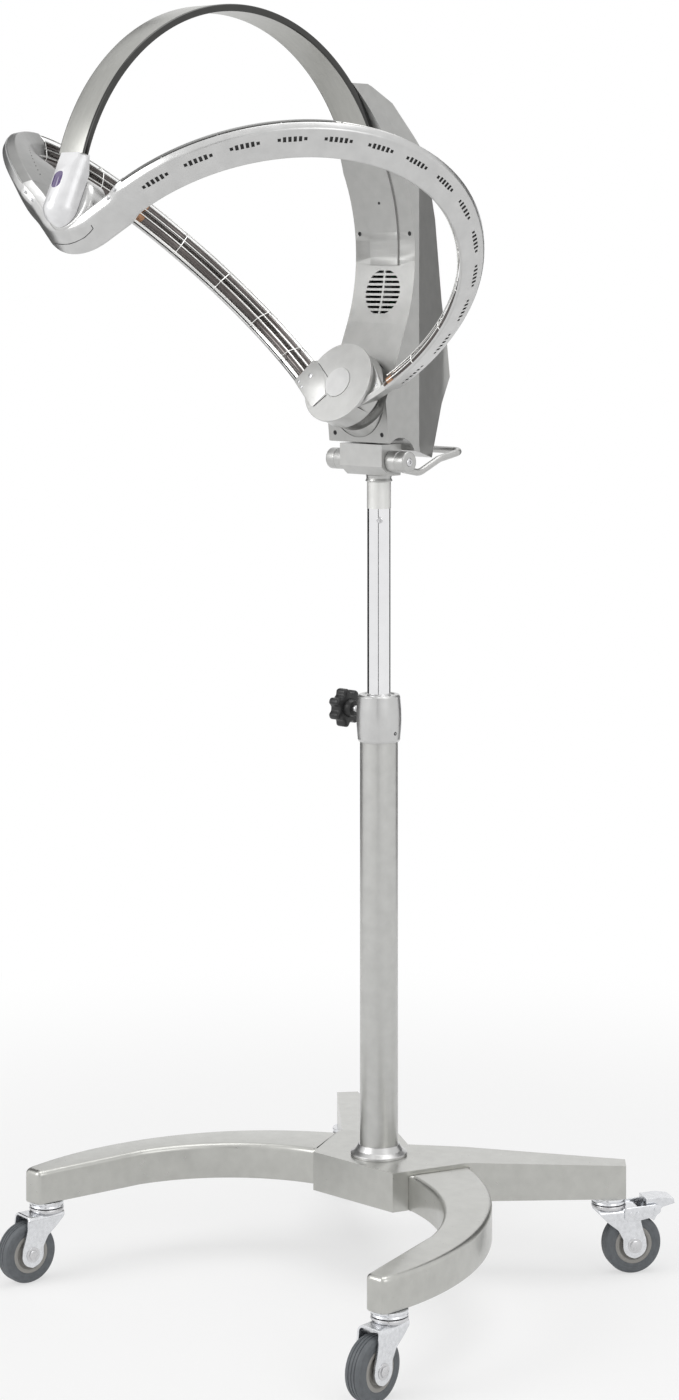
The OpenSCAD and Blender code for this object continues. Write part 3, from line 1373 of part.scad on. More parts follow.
module wheel(at) {
    color([0.55, 0.54, 0.52]) caster_frame(at) translate([trail, 0, wheel_r]) rotate([90, 0, 0]) rotate_extrude() polygon([
        [axle_r + run_gap, -hub_half], [rim_r * 0.36, -hub_half], [rim_r * 0.42, -wheel_w * 0.3], [rim_r * 0.72, -wheel_w * 0.3],
        [rim_r * 0.8, -wheel_w * 0.46], [rim_r, -wheel_w * 0.46], [rim_r, wheel_w * 0.46], [rim_r * 0.8, wheel_w * 0.46],
        [rim_r * 0.72, wheel_w * 0.3], [rim_r * 0.42, wheel_w * 0.3], [rim_r * 0.36, hub_half], [axle_r + run_gap, hub_half]]);
}

module tyre(at) {
    half = wheel_w / 2;
    color([0.38, 0.4, 0.42]) caster_frame(at) translate([trail, 0, wheel_r]) rotate([90, 0, 0]) rotate_extrude() union() {
        polygon([[rim_r, -wheel_w * 0.46], [wheel_r - tyre_round, -half], [wheel_r - tyre_round * 0.3, -half + tyre_round * 0.35],
            [wheel_r, -half + tyre_round], [wheel_r, half - tyre_round], [wheel_r - tyre_round * 0.3, half - tyre_round * 0.35],
            [wheel_r - tyre_round, half], [rim_r, wheel_w * 0.46]]);
    }
}

// Foot pedal with the shoe that it swings against the tyre
module brake(at) {
    half = cheek_in - free_gap;
    color([0.7, 0.7, 0.7]) caster_frame(at) translate([brake_x, 0, brake_z]) difference() {
        rotate([90, 0, 0]) linear_extrude(height = 2 * half, center = true)
            polygon([for (q = pedal_shares) q * pedal_reach]);
        rotate([90, 0, 0]) cylinder(r = brake_pin_r + run_gap, h = 3 * half, center = true);
    }
}

module front_left_fork() fork(FRONT_LEFT, false);
module front_right_fork() fork(FRONT_RIGHT, false);
module rear_left_fork() fork(REAR_LEFT, true);
module rear_right_fork() fork(REAR_RIGHT, true);
module front_left_wheel() wheel(FRONT_LEFT);
module front_right_wheel() wheel(FRONT_RIGHT);
module rear_left_wheel() wheel(REAR_LEFT);
module rear_right_wheel() wheel(REAR_RIGHT);
module front_left_tyre() tyre(FRONT_LEFT);
module front_right_tyre() tyre(FRONT_RIGHT);
module rear_left_tyre() tyre(REAR_LEFT);
module rear_right_tyre() tyre(REAR_RIGHT);
module rear_left_brake() brake(REAR_LEFT);
module rear_right_brake() brake(REAR_RIGHT);

base_hub();
left_front_leg();
right_front_leg();
column_foot_ring();
column_tube();
clamp_collar();
collar_set_screw();
caster_races();
clamp_knob();
clamp_stud();
mast_tube();
mast_bush();
mast_band();
mast_stop_screw();
mast_flange();
tilt_block();
tilt_shaft();
tilt_barrels();
barrel_screws();
push_handle();
body_front_cover();
body_rear_cover();
body_centre_panel();
cover_screws();
fan_frame();
fan_rotor();
ring_motor();
control_board();
cable_gland();
pivot_bowl();
arch_band();
arch_end_cap();
sensor_window();
front_pivot_pin();
arch_button();
pivot_drum();
pivot_disc_cap();
left_arm_shell();
right_arm_shell();
ring_reflectors();
ring_lamps();
ring_guards();
lamp_sockets();
ring_front_hub();
front_left_fork();
front_right_fork();
rear_left_fork();
rear_right_fork();
front_left_wheel();
front_right_wheel();
rear_left_wheel();
rear_right_wheel();
front_left_tyre();
front_right_tyre();
rear_left_tyre();
rear_right_tyre();
rear_left_brake();
rear_right_brake();
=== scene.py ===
import json
import math
import bmesh
import bpy
import numpy as np
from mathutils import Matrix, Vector

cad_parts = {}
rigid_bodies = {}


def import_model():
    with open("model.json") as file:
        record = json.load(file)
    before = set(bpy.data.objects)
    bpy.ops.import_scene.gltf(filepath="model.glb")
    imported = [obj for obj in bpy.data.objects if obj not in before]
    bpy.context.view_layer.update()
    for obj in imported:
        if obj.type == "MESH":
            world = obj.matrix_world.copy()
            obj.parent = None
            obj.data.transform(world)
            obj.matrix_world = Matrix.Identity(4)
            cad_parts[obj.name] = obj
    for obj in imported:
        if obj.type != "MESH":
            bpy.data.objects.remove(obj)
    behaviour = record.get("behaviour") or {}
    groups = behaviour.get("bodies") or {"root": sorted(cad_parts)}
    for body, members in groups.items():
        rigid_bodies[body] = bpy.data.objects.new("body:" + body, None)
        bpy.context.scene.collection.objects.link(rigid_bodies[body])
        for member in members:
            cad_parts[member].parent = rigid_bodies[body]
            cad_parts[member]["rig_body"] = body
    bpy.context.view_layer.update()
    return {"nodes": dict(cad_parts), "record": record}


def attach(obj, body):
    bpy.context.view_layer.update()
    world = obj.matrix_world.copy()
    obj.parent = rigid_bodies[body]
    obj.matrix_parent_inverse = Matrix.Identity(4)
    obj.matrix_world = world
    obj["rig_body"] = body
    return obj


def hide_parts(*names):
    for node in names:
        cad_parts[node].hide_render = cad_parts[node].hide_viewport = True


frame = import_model()
mm = 0.001
print("frame loaded")

# Camera, fitted to the photograph
view = {"place": (2.559, -2.8474, 1.285), "turn": 42.7, "lens": 77.143, "shiftUp": -0.3129}
cameraData = bpy.data.cameras.new("viewCamera")
cameraData.lens = view["lens"]
cameraData.sensor_width = 36
cameraData.shift_y = view["shiftUp"]
cameraData.clip_end = 100
camera = bpy.data.objects.new("viewCamera", cameraData)
camera.location = view["place"]
camera.rotation_euler = (math.radians(90), 0, math.radians(view["turn"]))
bpy.context.scene.collection.objects.link(camera)
bpy.context.scene.camera = camera
bpy.context.scene.view_settings.view_transform = "Standard"

# Light: a soft white room, a broad key from the left, a fill and a top panel
room = {"world": 0.55, "backdrop": 1.0, "floor": 0.93, "fade": (0.55, 1.7), "nearWhite": 0.62}
lamps = {
    "keyPanel": {"at": (-1.6, -3.4, 2.6), "aim": (0, -0.1, 1.1), "size": 2.2, "power": 52},
    "fillPanel": {"at": (3.4, -0.6, 2.2), "aim": (0, 0, 0.9), "size": 1.8, "power": 16},
    "topPanel": {"at": (0.3, 0.4, 4.2), "aim": (0, 0, 0.8), "size": 2.6, "power": 44},
}


# The turn that points -Z from source to target
def aimed(source, target):
    return (Vector(target) - Vector(source)).to_track_quat("-Z", "Y").to_euler()


for lampName, lamp in lamps.items():
    lampData = bpy.data.lights.new(lampName, "AREA")
    lampData.size = lamp["size"]
    lampData.energy = lamp["power"]
    lampObject = bpy.data.objects.new(lampName, lampData)
    lampObject.location = lamp["at"]
    lampObject.rotation_euler = aimed(lamp["at"], lamp["aim"])
    bpy.context.scene.collection.objects.link(lampObject)


# New nodes of a shader tree, each given as its type, or its type and its operation
def newNodes(tree, *kinds):
    made = []
    for kind in kinds:
        name, _, operation = kind.partition(" ")
        made.append(tree.nodes.new("ShaderNode" + name))
        if operation:
            made[-1].operation = operation
    return made


# Links of a tree, each given as a node, its output, the next node and its input
def wire(tree, *links):
    for source, output, target, entry in links:
        tree.links.new(source.outputs[output], target.inputs[entry])


# World: lights as a soft white room, and is the white backdrop to the camera and in reflections
world = bpy.data.worlds.new("whiteRoom")
bpy.context.scene.world = world
world.use_nodes = True
tree = world.node_tree
skyNode = tree.nodes["Background"]
paleNode, pathNode, seenNode, clearNode, mixNode = newNodes(tree, "Background", "LightPath", "Math ADD", "Math ADD",
                                                            "MixShader")
for shadeNode, strength in ((skyNode, room["world"]), (paleNode, room["backdrop"])):
    shadeNode.inputs["Color"].default_value = (1, 1, 1, 1)
    shadeNode.inputs["Strength"].default_value = strength
seenNode.use_clamp = clearNode.use_clamp = True
wire(tree, (pathNode, "Is Camera Ray", seenNode, 0), (pathNode, "Is Transmission Ray", seenNode, 1),
     (seenNode, 0, clearNode, 0), (pathNode, "Is Glossy Ray", clearNode, 1), (clearNode, 0, mixNode, 0),
     (skyNode, 0, mixNode, 1), (paleNode, 0, mixNode, 2), (mixNode, 0, tree.nodes["World Output"], "Surface"))


# A material: base colour drifting between two tones, roughness and bump from noise on Object coordinates.
# stretch draws the noise out along an axis for a brushed or drawn surface.
def newFinish(name, values):
    material = bpy.data.materials.new(name)
    material.use_nodes = True
    nodes, link = material.node_tree.nodes, material.node_tree.links.new
    shader = nodes["Principled BSDF"]
    coords, place, tones, sheen, bump = newNodes(material.node_tree, "TexCoord", "Mapping", "ValToRGB", "MapRange",
                                                 "Bump")
    place.inputs["Scale"].default_value = values.get("stretch", (1, 1, 1))
    link(coords.outputs["Object"], place.inputs["Vector"])

    def noise(scale, detail):
        made, = newNodes(material.node_tree, "TexNoise")
        made.inputs["Scale"].default_value = scale
        made.inputs["Detail"].default_value = detail
        link(place.outputs[0], made.inputs["Vector"])
        return made.outputs["Fac"]

    spread = values.get("spread", 0.05)
    dark = [c * (1 - spread) for c in values["colour"]]
    pale = [min(1, c * (1 + spread)) for c in values["colour"]]
    tones.color_ramp.elements[0].position = 0.3
    tones.color_ramp.elements[1].position = 0.7
    tones.color_ramp.elements[0].color = (*dark, 1)
    tones.color_ramp.elements[1].color = (*pale, 1)
    link(noise(values.get("patch", 60), 4), tones.inputs[0])
    link(tones.outputs[0], shader.inputs["Base Color"])
    sheen.inputs["To Min"].default_value = values["rough"] * (1 - values.get("roughSpread", 0.2))
    sheen.inputs["To Max"].default_value = values["rough"] * (1 + values.get("roughSpread", 0.2))
    link(noise(values.get("smear", 140), 3), sheen.inputs["Value"])
    link(sheen.outputs[0], shader.inputs["Roughness"])
    bump.inputs["Strength"].default_value = values.get("bump", 0.08)
    bump.inputs["Distance"].default_value = values.get("depth", 0.0002)
    link(noise(values.get("grain", 1800), 2), bump.inputs["Height"])
    link(bump.outputs[0], shader.inputs["Normal"])
    shader.inputs["Metallic"].default_value = values["metal"]
    shader.inputs["Coat Weight"].default_value = values.get("coat", 0)
    shader.inputs["Coat Roughness"].default_value = values.get("coatRough", 0.1)
    shader.inputs["Specular IOR Level"].default_value = values.get("shine", 0.5)
    # Painted glow: emission for a part that is no lamp
    if "glow" in values:
        shader.inputs["Emission Color"].default_value = (*values["glow"], 1)
        shader.inputs["Emission Strength"].default_value = values["glowPower"]
    return material


# Colour, metal and roughness of each finish, with its noise scales (patch, smear, grain), bump and coat
def look(red, green, blue, metal, rough, **more):
    return {"colour": (red, green, blue), "metal": metal, "rough": rough, **more}


looks = {
    "ringSilver": look(0.57, 0.57, 0.565, 0.82, 0.31, grain=2600, bump=0.12, coat=0.3, coatRough=0.16),
    "hoodSilver": look(0.24, 0.24, 0.235, 0.7, 0.36, grain=2600, bump=0.12, coat=0.2, coatRough=0.16),
    "jointSilver": look(0.50, 0.50, 0.49, 0.75, 0.34, grain=2400, bump=0.14, coat=0.15),
    "baseSilver": look(0.50, 0.50, 0.475, 0.82, 0.3, grain=2200, bump=0.1, coat=0.35, coatRough=0.12),
    "columnSilver": look(0.52, 0.52, 0.505, 0.82, 0.35, grain=2400, bump=0.12, coat=0.2),
    "coverSilver": look(0.42, 0.42, 0.41, 0.6, 0.33, grain=2600, bump=0.12, coat=0.25),
    "archFace": look(0.40, 0.40, 0.38, 0.92, 0.3, grain=900, bump=0.06, stretch=(6, 1, 1)),
    # Near-black mirror for the arch's edges: a painted dark reflection
    "archEdgePaintedReflection": look(0.07, 0.07, 0.068, 1.0, 0.12, grain=900, bump=0.02),
    "capWhite": look(0.83, 0.83, 0.84, 0.25, 0.33, grain=2600, bump=0.08, coat=0.4, coatRough=0.12),
    "mastChrome": look(0.80, 0.80, 0.81, 1.0, 0.07, roughSpread=0.35, grain=500, bump=0.01, spread=0.02),
    "bandSilver": look(0.78, 0.78, 0.76, 0.45, 0.4, grain=2200, bump=0.1),
    "zinc": look(0.72, 0.73, 0.75, 1.0, 0.24, roughSpread=0.45, patch=220, smear=260, grain=1500, bump=0.1,
                 spread=0.08),
    "screwSteel": look(0.62, 0.62, 0.63, 1.0, 0.28, patch=400, grain=2600, bump=0.1),
    "blackPlastic": look(0.012, 0.012, 0.013, 0.0, 0.32, grain=2800, bump=0.25, spread=0.2),
    # Near-black: the real dark of the seams, and painted shade in the vent sheets and the hood's vent slots
    "darkRecess": look(0.03, 0.03, 0.03, 0.0, 0.7, grain=1200, bump=0.2, spread=0.2),
    "tyreGrey": look(0.125, 0.135, 0.145, 0.0, 0.55, patch=150, grain=1400, bump=0.3, spread=0.1),
    "rimGrey": look(0.33, 0.32, 0.30, 0.0, 0.45, grain=1600, bump=0.18),
    "reflector": look(0.86, 0.86, 0.85, 1.0, 0.13, patch=90, grain=260, bump=0.12, spread=0.05),
    "lampGlass": look(0.10, 0.085, 0.08, 0.55, 0.12, patch=70, grain=900, bump=0.04, coat=0.7, coatRough=0.04,
                      spread=0.25),
    "ceramic": look(0.42, 0.22, 0.12, 0.35, 0.4, patch=240, grain=1400, bump=0.15, spread=0.2),
    "guardWire": look(0.86, 0.86, 0.84, 1.0, 0.15, grain=1600, bump=0.05),
    # Sensor window: its violet glow is painted light, for it is no lamp
    "windowViolet": look(0.035, 0.018, 0.07, 0.0, 0.08, grain=600, bump=0.02, coat=1.0, coatRough=0.03,
                         glow=(0.42, 0.24, 0.9), glowPower=0.11),
    "motorCase": look(0.2, 0.2, 0.21, 0.7, 0.4),
    "boardGreen": look(0.02, 0.12, 0.05, 0.0, 0.45, patch=400, spread=0.25),
}
finishes = {name: newFinish(name, values) for name, values in looks.items()}

# The floor is pale and keeps the object's shadow; away from the object it passes into the white backdrop
floorMesh = bpy.data.meshes.new("floorPlane")
floorMesh.from_pydata([(-30, -30, 0), (30, -30, 0), (30, 30, 0), (-30, 30, 0)], [], [(0, 1, 2, 3)])
floorPlane = bpy.data.objects.new("floorPlane", floorMesh)
bpy.context.scene.collection.objects.link(floorPlane)
floorFinish = newFinish("floorWhite", look(*(room["floor"],) * 3, 0.0, 0.8, spread=0.004, bump=0.0, patch=2,
                                           shine=0.1))
floorMesh.materials.append(floorFinish)
tree = floorFinish.node_tree
whiteNode, pathNode, glossNode, clearNode, coordNode, lengthNode, fadeNode, shareNode, mixNode = newNodes(
    tree, "Emission", "LightPath", "Math ADD", "Math ADD", "TexCoord", "VectorMath LENGTH", "MapRange",
    "Math MULTIPLY", "MixShader")
whiteNode.inputs["Strength"].default_value = room["backdrop"]
clearNode.use_clamp = True
fadeNode.interpolation_type = "SMOOTHSTEP"
fadeNode.inputs["From Min"].default_value, fadeNode.inputs["From Max"].default_value = room["fade"]
fadeNode.inputs["To Min"].default_value = room["nearWhite"]
wire(tree, (pathNode, "Is Camera Ray", glossNode, 0), (pathNode, "Is Glossy Ray", glossNode, 1),
     (glossNode, 0, clearNode, 0), (pathNode, "Is Transmission Ray", clearNode, 1),
     (coordNode, "Object", lengthNode, 0), (lengthNode, "Value", fadeNode, "Value"), (fadeNode, 0, shareNode, 0),
     (clearNode, 0, shareNode, 1), (shareNode, 0, mixNode, 0), (tree.nodes["Principled BSDF"], 0, mixNode, 1),
     (whiteNode, 0, mixNode, 2), (mixNode, 0, tree.nodes["Material Output"], "Surface"))

# Black cards out of view draw the dark edges and the middle streak that chrome and paint show. Each is an
# upright plane: turn is its direction from the object, against the camera's, and half its half width in
# degrees.
cards = {"frontCard": {"turn": -6, "half": 3.2, "far": 4.7, "low": 0.02, "high": 3.4},
         "leftCard": {"turn": -138, "half": 24, "far": 2.7, "low": 0.02, "high": 3.4},
         "rightCard": {"turn": 138, "half": 15, "far": 2.7, "low": 0.02, "high": 3.4}}
cardFinish = newFinish("cardBlack", look(0.012, 0.012, 0.012, 0.0, 0.9, shine=0.0, bump=0.0))
for cardName, card in cards.items():
    towardCamera = math.atan2(view["place"][1], view["place"][0])
    angle = towardCamera + math.radians(card["turn"])
    out = np.array([math.cos(angle), math.sin(angle)])
    half = card["far"] * math.tan(math.radians(card["half"]))
    side = np.array([-out[1], out[0]]) * half
    ends = ((-1, card["low"]), (1, card["low"]), (1, card["high"]), (-1, card["high"]))
    corners = [(*(out * card["far"] + side * a), b) for a, b in ends]
    cardMesh = bpy.data.meshes.new(cardName)
    cardMesh.from_pydata([tuple(map(float, c)) for c in corners], [], [(0, 1, 2, 3)])
    cardMesh.materials.append(cardFinish)
    cardObject = bpy.data.objects.new(cardName, cardMesh)
    cardObject.visible_camera = False
    bpy.context.scene.collection.objects.link(cardObject)
print("camera, light and floor")

# Finish of every CAD node that stays in view, by its material slot in the record
slotLooks = {
    "cast_grey": "baseSilver", "column_paint": "columnSilver", "collar_silver": "ringSilver",
    "black_plastic": "blackPlastic", "steel_small": "screwSteel", "mast_chrome": "mastChrome",
    "band_silver": "bandSilver", "joint_silver": "jointSilver", "handle_silver": "jointSilver",
    "cover_silver": "coverSilver", "cover_dark": "coverSilver", "arch_silver": "archFace",
    "cap_white": "capWhite", "window_violet": "windowViolet", "button_grey": "screwSteel",
    "ring_silver": "ringSilver", "reflector": "reflector", "lamp_glass": "lampGlass", "ceramic": "ceramic",
    "guard_wire": "guardWire", "zinc": "zinc", "wheel_grey": "rimGrey", "tyre_grey": "tyreGrey",
    "motor_case": "motorCase", "board_green": "boardGreen",
}
slotNodes = {entry["node"]: entry["material_slot"] for entry in frame["record"]["subparts"]}
# Nodes whose finish isn't their slot's: the cover screws are black, painted shade for the hollows they sit in
nodeLooks = {"cover_screws": "blackPlastic"}
for nodeName, cadNode in frame["nodes"].items():
    cadNode.data.materials.clear()
    finish = nodeLooks.get(nodeName) or slotLooks.get(slotNodes.get(nodeName), "jointSilver")
    cadNode.data.materials.append(finishes[finish])


# Points that fall together become one, and a face loses the corners that it then repeats
def welded(points, faces):
    keys = np.round(np.asarray(points, float), 4)
    _, first, back = np.unique(keys, axis=0, return_index=True, return_inverse=True)
    back = back.ravel()
    kept = []
    for f in faces:
        corners = [int(back[k]) for k in f]
        corners = [k for n, k in enumerate(corners) if k != corners[n - 1]]
        if len(set(corners)) > 2:
            kept.append(corners)
    return np.asarray(points, float)[first], kept


# A mesh from points in millimetres and faces, smooth but for edges sharper than the given angle
def newPiece(name, points, faces, finish, body, stands=(), slot=None, sharp=40, faceFinish=None):
    mesh = bpy.data.meshes.new(name)
    if faceFinish is None:
        points, faces = welded(points, faces)
    mesh.from_pydata((np.asarray(points, float) * mm).tolist(), [], [list(map(int, f)) for f in faces])
    names = [finish] if isinstance(finish, str) else list(finish)
    for used in names:
        mesh.materials.append(finishes[used])
    if faceFinish is not None:
        mesh.polygons.foreach_set("material_index", np.asarray(faceFinish, np.int32))
    mesh.shade_smooth()
    mesh.set_sharp_from_angle(angle=math.radians(sharp))
    piece = bpy.data.objects.new(name, mesh)
    bpy.context.scene.collection.objects.link(piece)
    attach(piece, body)
    if stands:
        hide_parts(*stands)
    return piece


# Quads of a grid of points with rows i and columns j, closed round either way if asked
def gridFaces(rows, columns, closeRows=False, closeColumns=False):
    i = np.arange(rows if closeRows else rows - 1)[:, None]
    j = np.arange(columns if closeColumns else columns - 1)[None, :]
    i2, j2 = (i + 1) % rows, (j + 1) % columns
    quads = np.stack([i * columns + j, i2 * columns + j, i2 * columns + j2, i * columns + j2], -1)
    return quads.reshape(-1, 4)


# Faces of a closed section carried through the rows of a grid, with both ends shut
def tubeFaces(rows, columns):
    ends = [list(range(columns)), [(rows - 1) * columns + k for k in range(columns)][::-1]]
    return gridFaces(rows, columns, False, True).tolist() + ends


def reversedFaces(faces):
    return [list(f)[::-1] for f in faces]


# Twice the area inside a line, positive when it runs against the clock
def signedArea(line):
    after = np.roll(line, -1, 0)
    return np.sum(line[:, 0] * after[:, 1] - after[:, 0] * line[:, 1])


# Unit tangents of a line of points
def tangents(line):
    along = np.gradient(line, axis=0)
    return along / np.linalg.norm(along, axis=1)[:, None]


# Several point blocks and their faces joined into one pair
def joined(parts):
    points, faces, start = [], [], 0
    for block, blockFaces in parts:
        block = np.asarray(block, float).reshape(-1, 3)
        points.append(block)
        faces += [[int(k) + start for k in f] for f in blockFaces]
        start += len(block)
    return np.concatenate(points), faces


# Two unit vectors square to a direction
def squareTo(direction):
    d = np.asarray(direction, float) / np.linalg.norm(direction)
    helper = np.array([0, 0, 1.0]) if abs(d[2]) < 0.9 else np.array([1.0, 0, 0])
    u = np.cross(helper, d)
    u /= np.linalg.norm(u)
    return d, u, np.cross(d, u)


# Turned surface: each [radius, height] of the profile goes round the axis, point = base + axis h + r (u cos t +
# v sin t)
def turned(profile, base=(0, 0, 0), axis=(0, 0, 1), count=64, closed=False):
    d, u, v = squareTo(axis)
    profile = np.asarray(profile, float)
    t = np.linspace(0, 2 * np.pi, count, endpoint=False)
    outwards = np.cos(t)[:, None, None] * u + np.sin(t)[:, None, None] * v
    points = np.asarray(base, float) + profile[None, :, 1:2] * d + profile[None, :, 0:1] * outwards
    faces = gridFaces(count, len(profile), True, closed).tolist()
    block = points.reshape(-1, 3)
    if not closed:
        if profile[0, 0] > 1e-6:
            faces.append([k * len(profile) for k in range(count)])
        if profile[-1, 0] > 1e-6:
            faces.append([k * len(profile) + len(profile) - 1 for k in range(count)][::-1])
    return block, faces


# Corner rounding of an open or closed line: each inner corner becomes an arc of the given radius, by a circle
# tangent to both sides
def roundedLine(points, radii, steps=5, closed=False):
    points = [np.asarray(p, float) for p in points]
    count = len(points)
    made = []
    for k in range(count):
        if not closed and k in (0, count - 1) or radii[k] <= 0:
            made.append(points[k][None])
            continue
        before, after = points[k - 1], points[(k + 1) % count]
        a = (before - points[k]) / np.linalg.norm(before - points[k])
        b = (after - points[k]) / np.linalg.norm(after - points[k])
        half = np.arccos(np.clip(a @ b, -1, 1)) / 2
        reach = radii[k] / np.tan(half)
        middle = (a + b) / np.linalg.norm(a + b)
        centre = points[k] + middle * radii[k] / np.sin(half)
        first, last = points[k] + a * reach - centre, points[k] + b * reach - centre
        sweep = np.pi - 2 * half
        t = np.linspace(0, 1, steps + 1)[:, None]
        made.append(centre + (first * np.sin((1 - t) * sweep) + last * np.sin(t * sweep)) / np.sin(sweep))
    return np.concatenate(made)


# Rounded profile for a turned piece
def turnedRound(points, radii, **more):
    return turned(roundedLine(points, radii), **more)


# Round bar along a path: circles of the given radius square to the path, carried without twist
def barAlong(path, radius, sides=12):
    path = np.asarray(path, float)
    tangent = tangents(path)
    normal = np.zeros_like(path)
    _, normal[0], _ = squareTo(tangent[0])
    for k in range(1, len(path)):
        n = normal[k - 1] - tangent[k] * (normal[k - 1] @ tangent[k])
        normal[k] = n / np.linalg.norm(n)
    side = np.cross(tangent, normal)
    t = np.linspace(0, 2 * np.pi, sides, endpoint=False)
    cosine, sine = np.cos(t)[None, :, None], np.sin(t)[None, :, None]
    points = path[:, None] + radius * (cosine * normal[:, None] + sine * side[:, None])
    return points.reshape(-1, 3), reversedFaces(tubeFaces(len(path), sides))


# A flat plate from an outline: the outline runs inwards by edge while it rises or falls by edge, a quarter
# circle, at both faces. place maps [across, along, height] arrays to the model's millimetres. As a band, its
# faces are quads from one half of the outline to the other.
def plate(outline, low, high, edge, place, steps=4, lowEdge=None, band=False):
    outline = np.asarray(outline, float)
    outline = outline[np.linalg.norm(outline - np.roll(outline, 1, 0), axis=1) > 0.02]
    if signedArea(outline) < 0:
        outline = outline[::-1]
    along = np.roll(outline, -1, 0) - np.roll(outline, 1, 0)
    along /= np.linalg.norm(along, axis=1)[:, None]
    inward = np.stack([-along[:, 1], along[:, 0]], 1)
    lowEdge = edge if lowEdge is None else lowEdge
    t = np.linspace(0, np.pi / 2, steps + 1)
    insets = np.concatenate([lowEdge * (1 - np.sin(t)), edge * (1 - np.cos(t))])
    rise = np.concatenate([lowEdge * (1 - np.cos(t)), -edge * (1 - np.sin(t))])
    rings = outline[None] + insets[:, None, None] * inward[None]
    top = np.zeros(len(insets), bool)
    top[steps + 1:] = True
    highs = high(rings[..., 0], rings[..., 1]) if callable(high) else np.full(rings.shape[:2], float(high))
    heights = np.where(top[:, None], highs, low) + rise[:, None]
    count = len(outline)
    block = place(rings[..., 0], rings[..., 1], heights).reshape(-1, 3)
    faces = reversedFaces(tubeFaces(len(insets), count))
    lastRow = (len(insets) - 1) * count
    if band:
        k = np.arange(count // 2 - 1)
        strip = np.stack([k, k + 1, count - 2 - k, count - 1 - k], 1)
        faces = faces[:-2] + strip[:, ::-1].tolist() + (strip + lastRow).tolist()
    o, a, b, c = (place(*(np.array(float(v)) for v in p)) for p in ((0, 0, 0), (1, 0, 0), (0, 1, 0), (0, 0, 1)))
    mirrored = np.linalg.det(np.stack([a - o, b - o, c - o])) < 0
    return block, reversedFaces(faces) if mirrored else faces


def stacked(x, y, z):
    return np.stack(np.broadcast_arrays(x, y, z), -1).astype(float)


# The CAD node's own form with its edges rounded: a merged copy, flat faces joined, then a live Bevel
def softCopy(nodeName, name, finish, width, slot=None, segments=3, angle=32):
    mesh = frame["nodes"][nodeName].data.copy()
    mesh.name = name
    work = bmesh.new()
    work.from_mesh(mesh)
    bmesh.ops.remove_doubles(work, verts=work.verts, dist=2e-6)
    bmesh.ops.dissolve_limit(work, angle_limit=math.radians(0.6), verts=work.verts, edges=work.edges)
    work.to_mesh(mesh)
    work.free()
    mesh.materials.clear()
    mesh.materials.append(finishes[finish])
    mesh.shade_smooth()
    mesh.set_sharp_from_angle(angle=math.radians(angle))
    piece = bpy.data.objects.new(name, mesh)
    bpy.context.scene.collection.objects.link(piece)
    bevel = piece.modifiers.new("softEdges", "BEVEL")
    bevel.width = width * mm
    bevel.segments = segments
    bevel.limit_method = "ANGLE"
    bevel.angle_limit = math.radians(angle)
    bevel.harden_normals = True
    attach(piece, frame["nodes"][nodeName]["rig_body"])
    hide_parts(nodeName)
    return piece


# Arms of the ring. A place on an arm is its angle a, its distance outside the arm's edge and its height to the
# vented side.
ring = {"discY": -78, "discZ": 1134, "slope": 24.5, "fold": 36.5, "foldDrop": 40.6, "r": 262.1, "rearR": 296.7,
        "out": 106.4, "back": 245.6, "joinA": 107.6, "fromA": 1.0, "toA": 178.0}
ring["rearOut"] = ring["out"] + (ring["r"] - ring["rearR"]) * math.sin(math.radians(ring["joinA"]))
ring["rearBack"] = ring["back"] + (ring["r"] - ring["rearR"]) * math.cos(math.radians(ring["joinA"]))
edgeA, edgeB, edgeC = np.array([2.998, -11.001]), np.array([0.0, 0.0]), np.array([-31.355, 15.068])
opening = np.linalg.norm(edgeC - edgeA)
acrossDir = (edgeC - edgeA) / opening
inDir = np.array([-acrossDir[1], acrossDir[0]])
faceWidth = np.linalg.norm(edgeC - edgeB)
faceDir = (edgeC - edgeB) / faceWidth


# Ring coordinates [x, up and back, along the axis] turned into the model's
def fromRing(x, w, s):
    c, t = math.cos(math.radians(ring["slope"])), math.sin(math.radians(ring["slope"]))
    return stacked(x, ring["discY"] + w * t - s * c, ring["discZ"] + w * c + s * t)


# Arm: from the curve's centre out by (radius + outward) at angle a, then the arm's plane is folded and tilted
# into the ring
def onArm(side, a, outward, height):
    rear = a > ring["joinA"]
    centreOut = np.where(rear, ring["rearOut"], ring["out"])
    centreBack = np.where(rear, ring["rearBack"], ring["back"])
    radius = np.where(rear, ring["rearR"], ring["r"]) + outward
    out = centreOut + radius * np.sin(np.radians(a))
    along = centreBack + radius * np.cos(np.radians(a))
    f = math.radians(ring["fold"])
    x = out * math.cos(f) + height * math.sin(f)
    w = out * math.sin(f) - height * math.cos(f) - ring["foldDrop"]
    return fromRing(side * x, w, along)


# Point on an arm's section: across the opening from edge A, or back from edge C if negative, and in from it
def onSection(across, inwards):
    return (edgeA if across >= 0 else edgeC) + acrossDir * across + inDir * inwards


# The left arm is the right one mirrored, so its faces turn round
def flipped(faces, side):
    return reversedFaces(faces) if side < 0 else faces


shell = {"wall": 1.1, "roundA": 1.2, "roundB": 4.5, "roundC": 2.0, "rim": 5.0, "lip": 3.6, "groups": 14, "slots": 6,
         "firstVent": 8.9, "lastVent": 171.5, "slotPitch": 1.4, "slotW": 4.0, "slotH": 6.2, "share": 0.35,
         "shoulder": 0.62,
         "inside": (-14.0, -8.0), "rowStep": 1.0, "rowGap": 0.3}


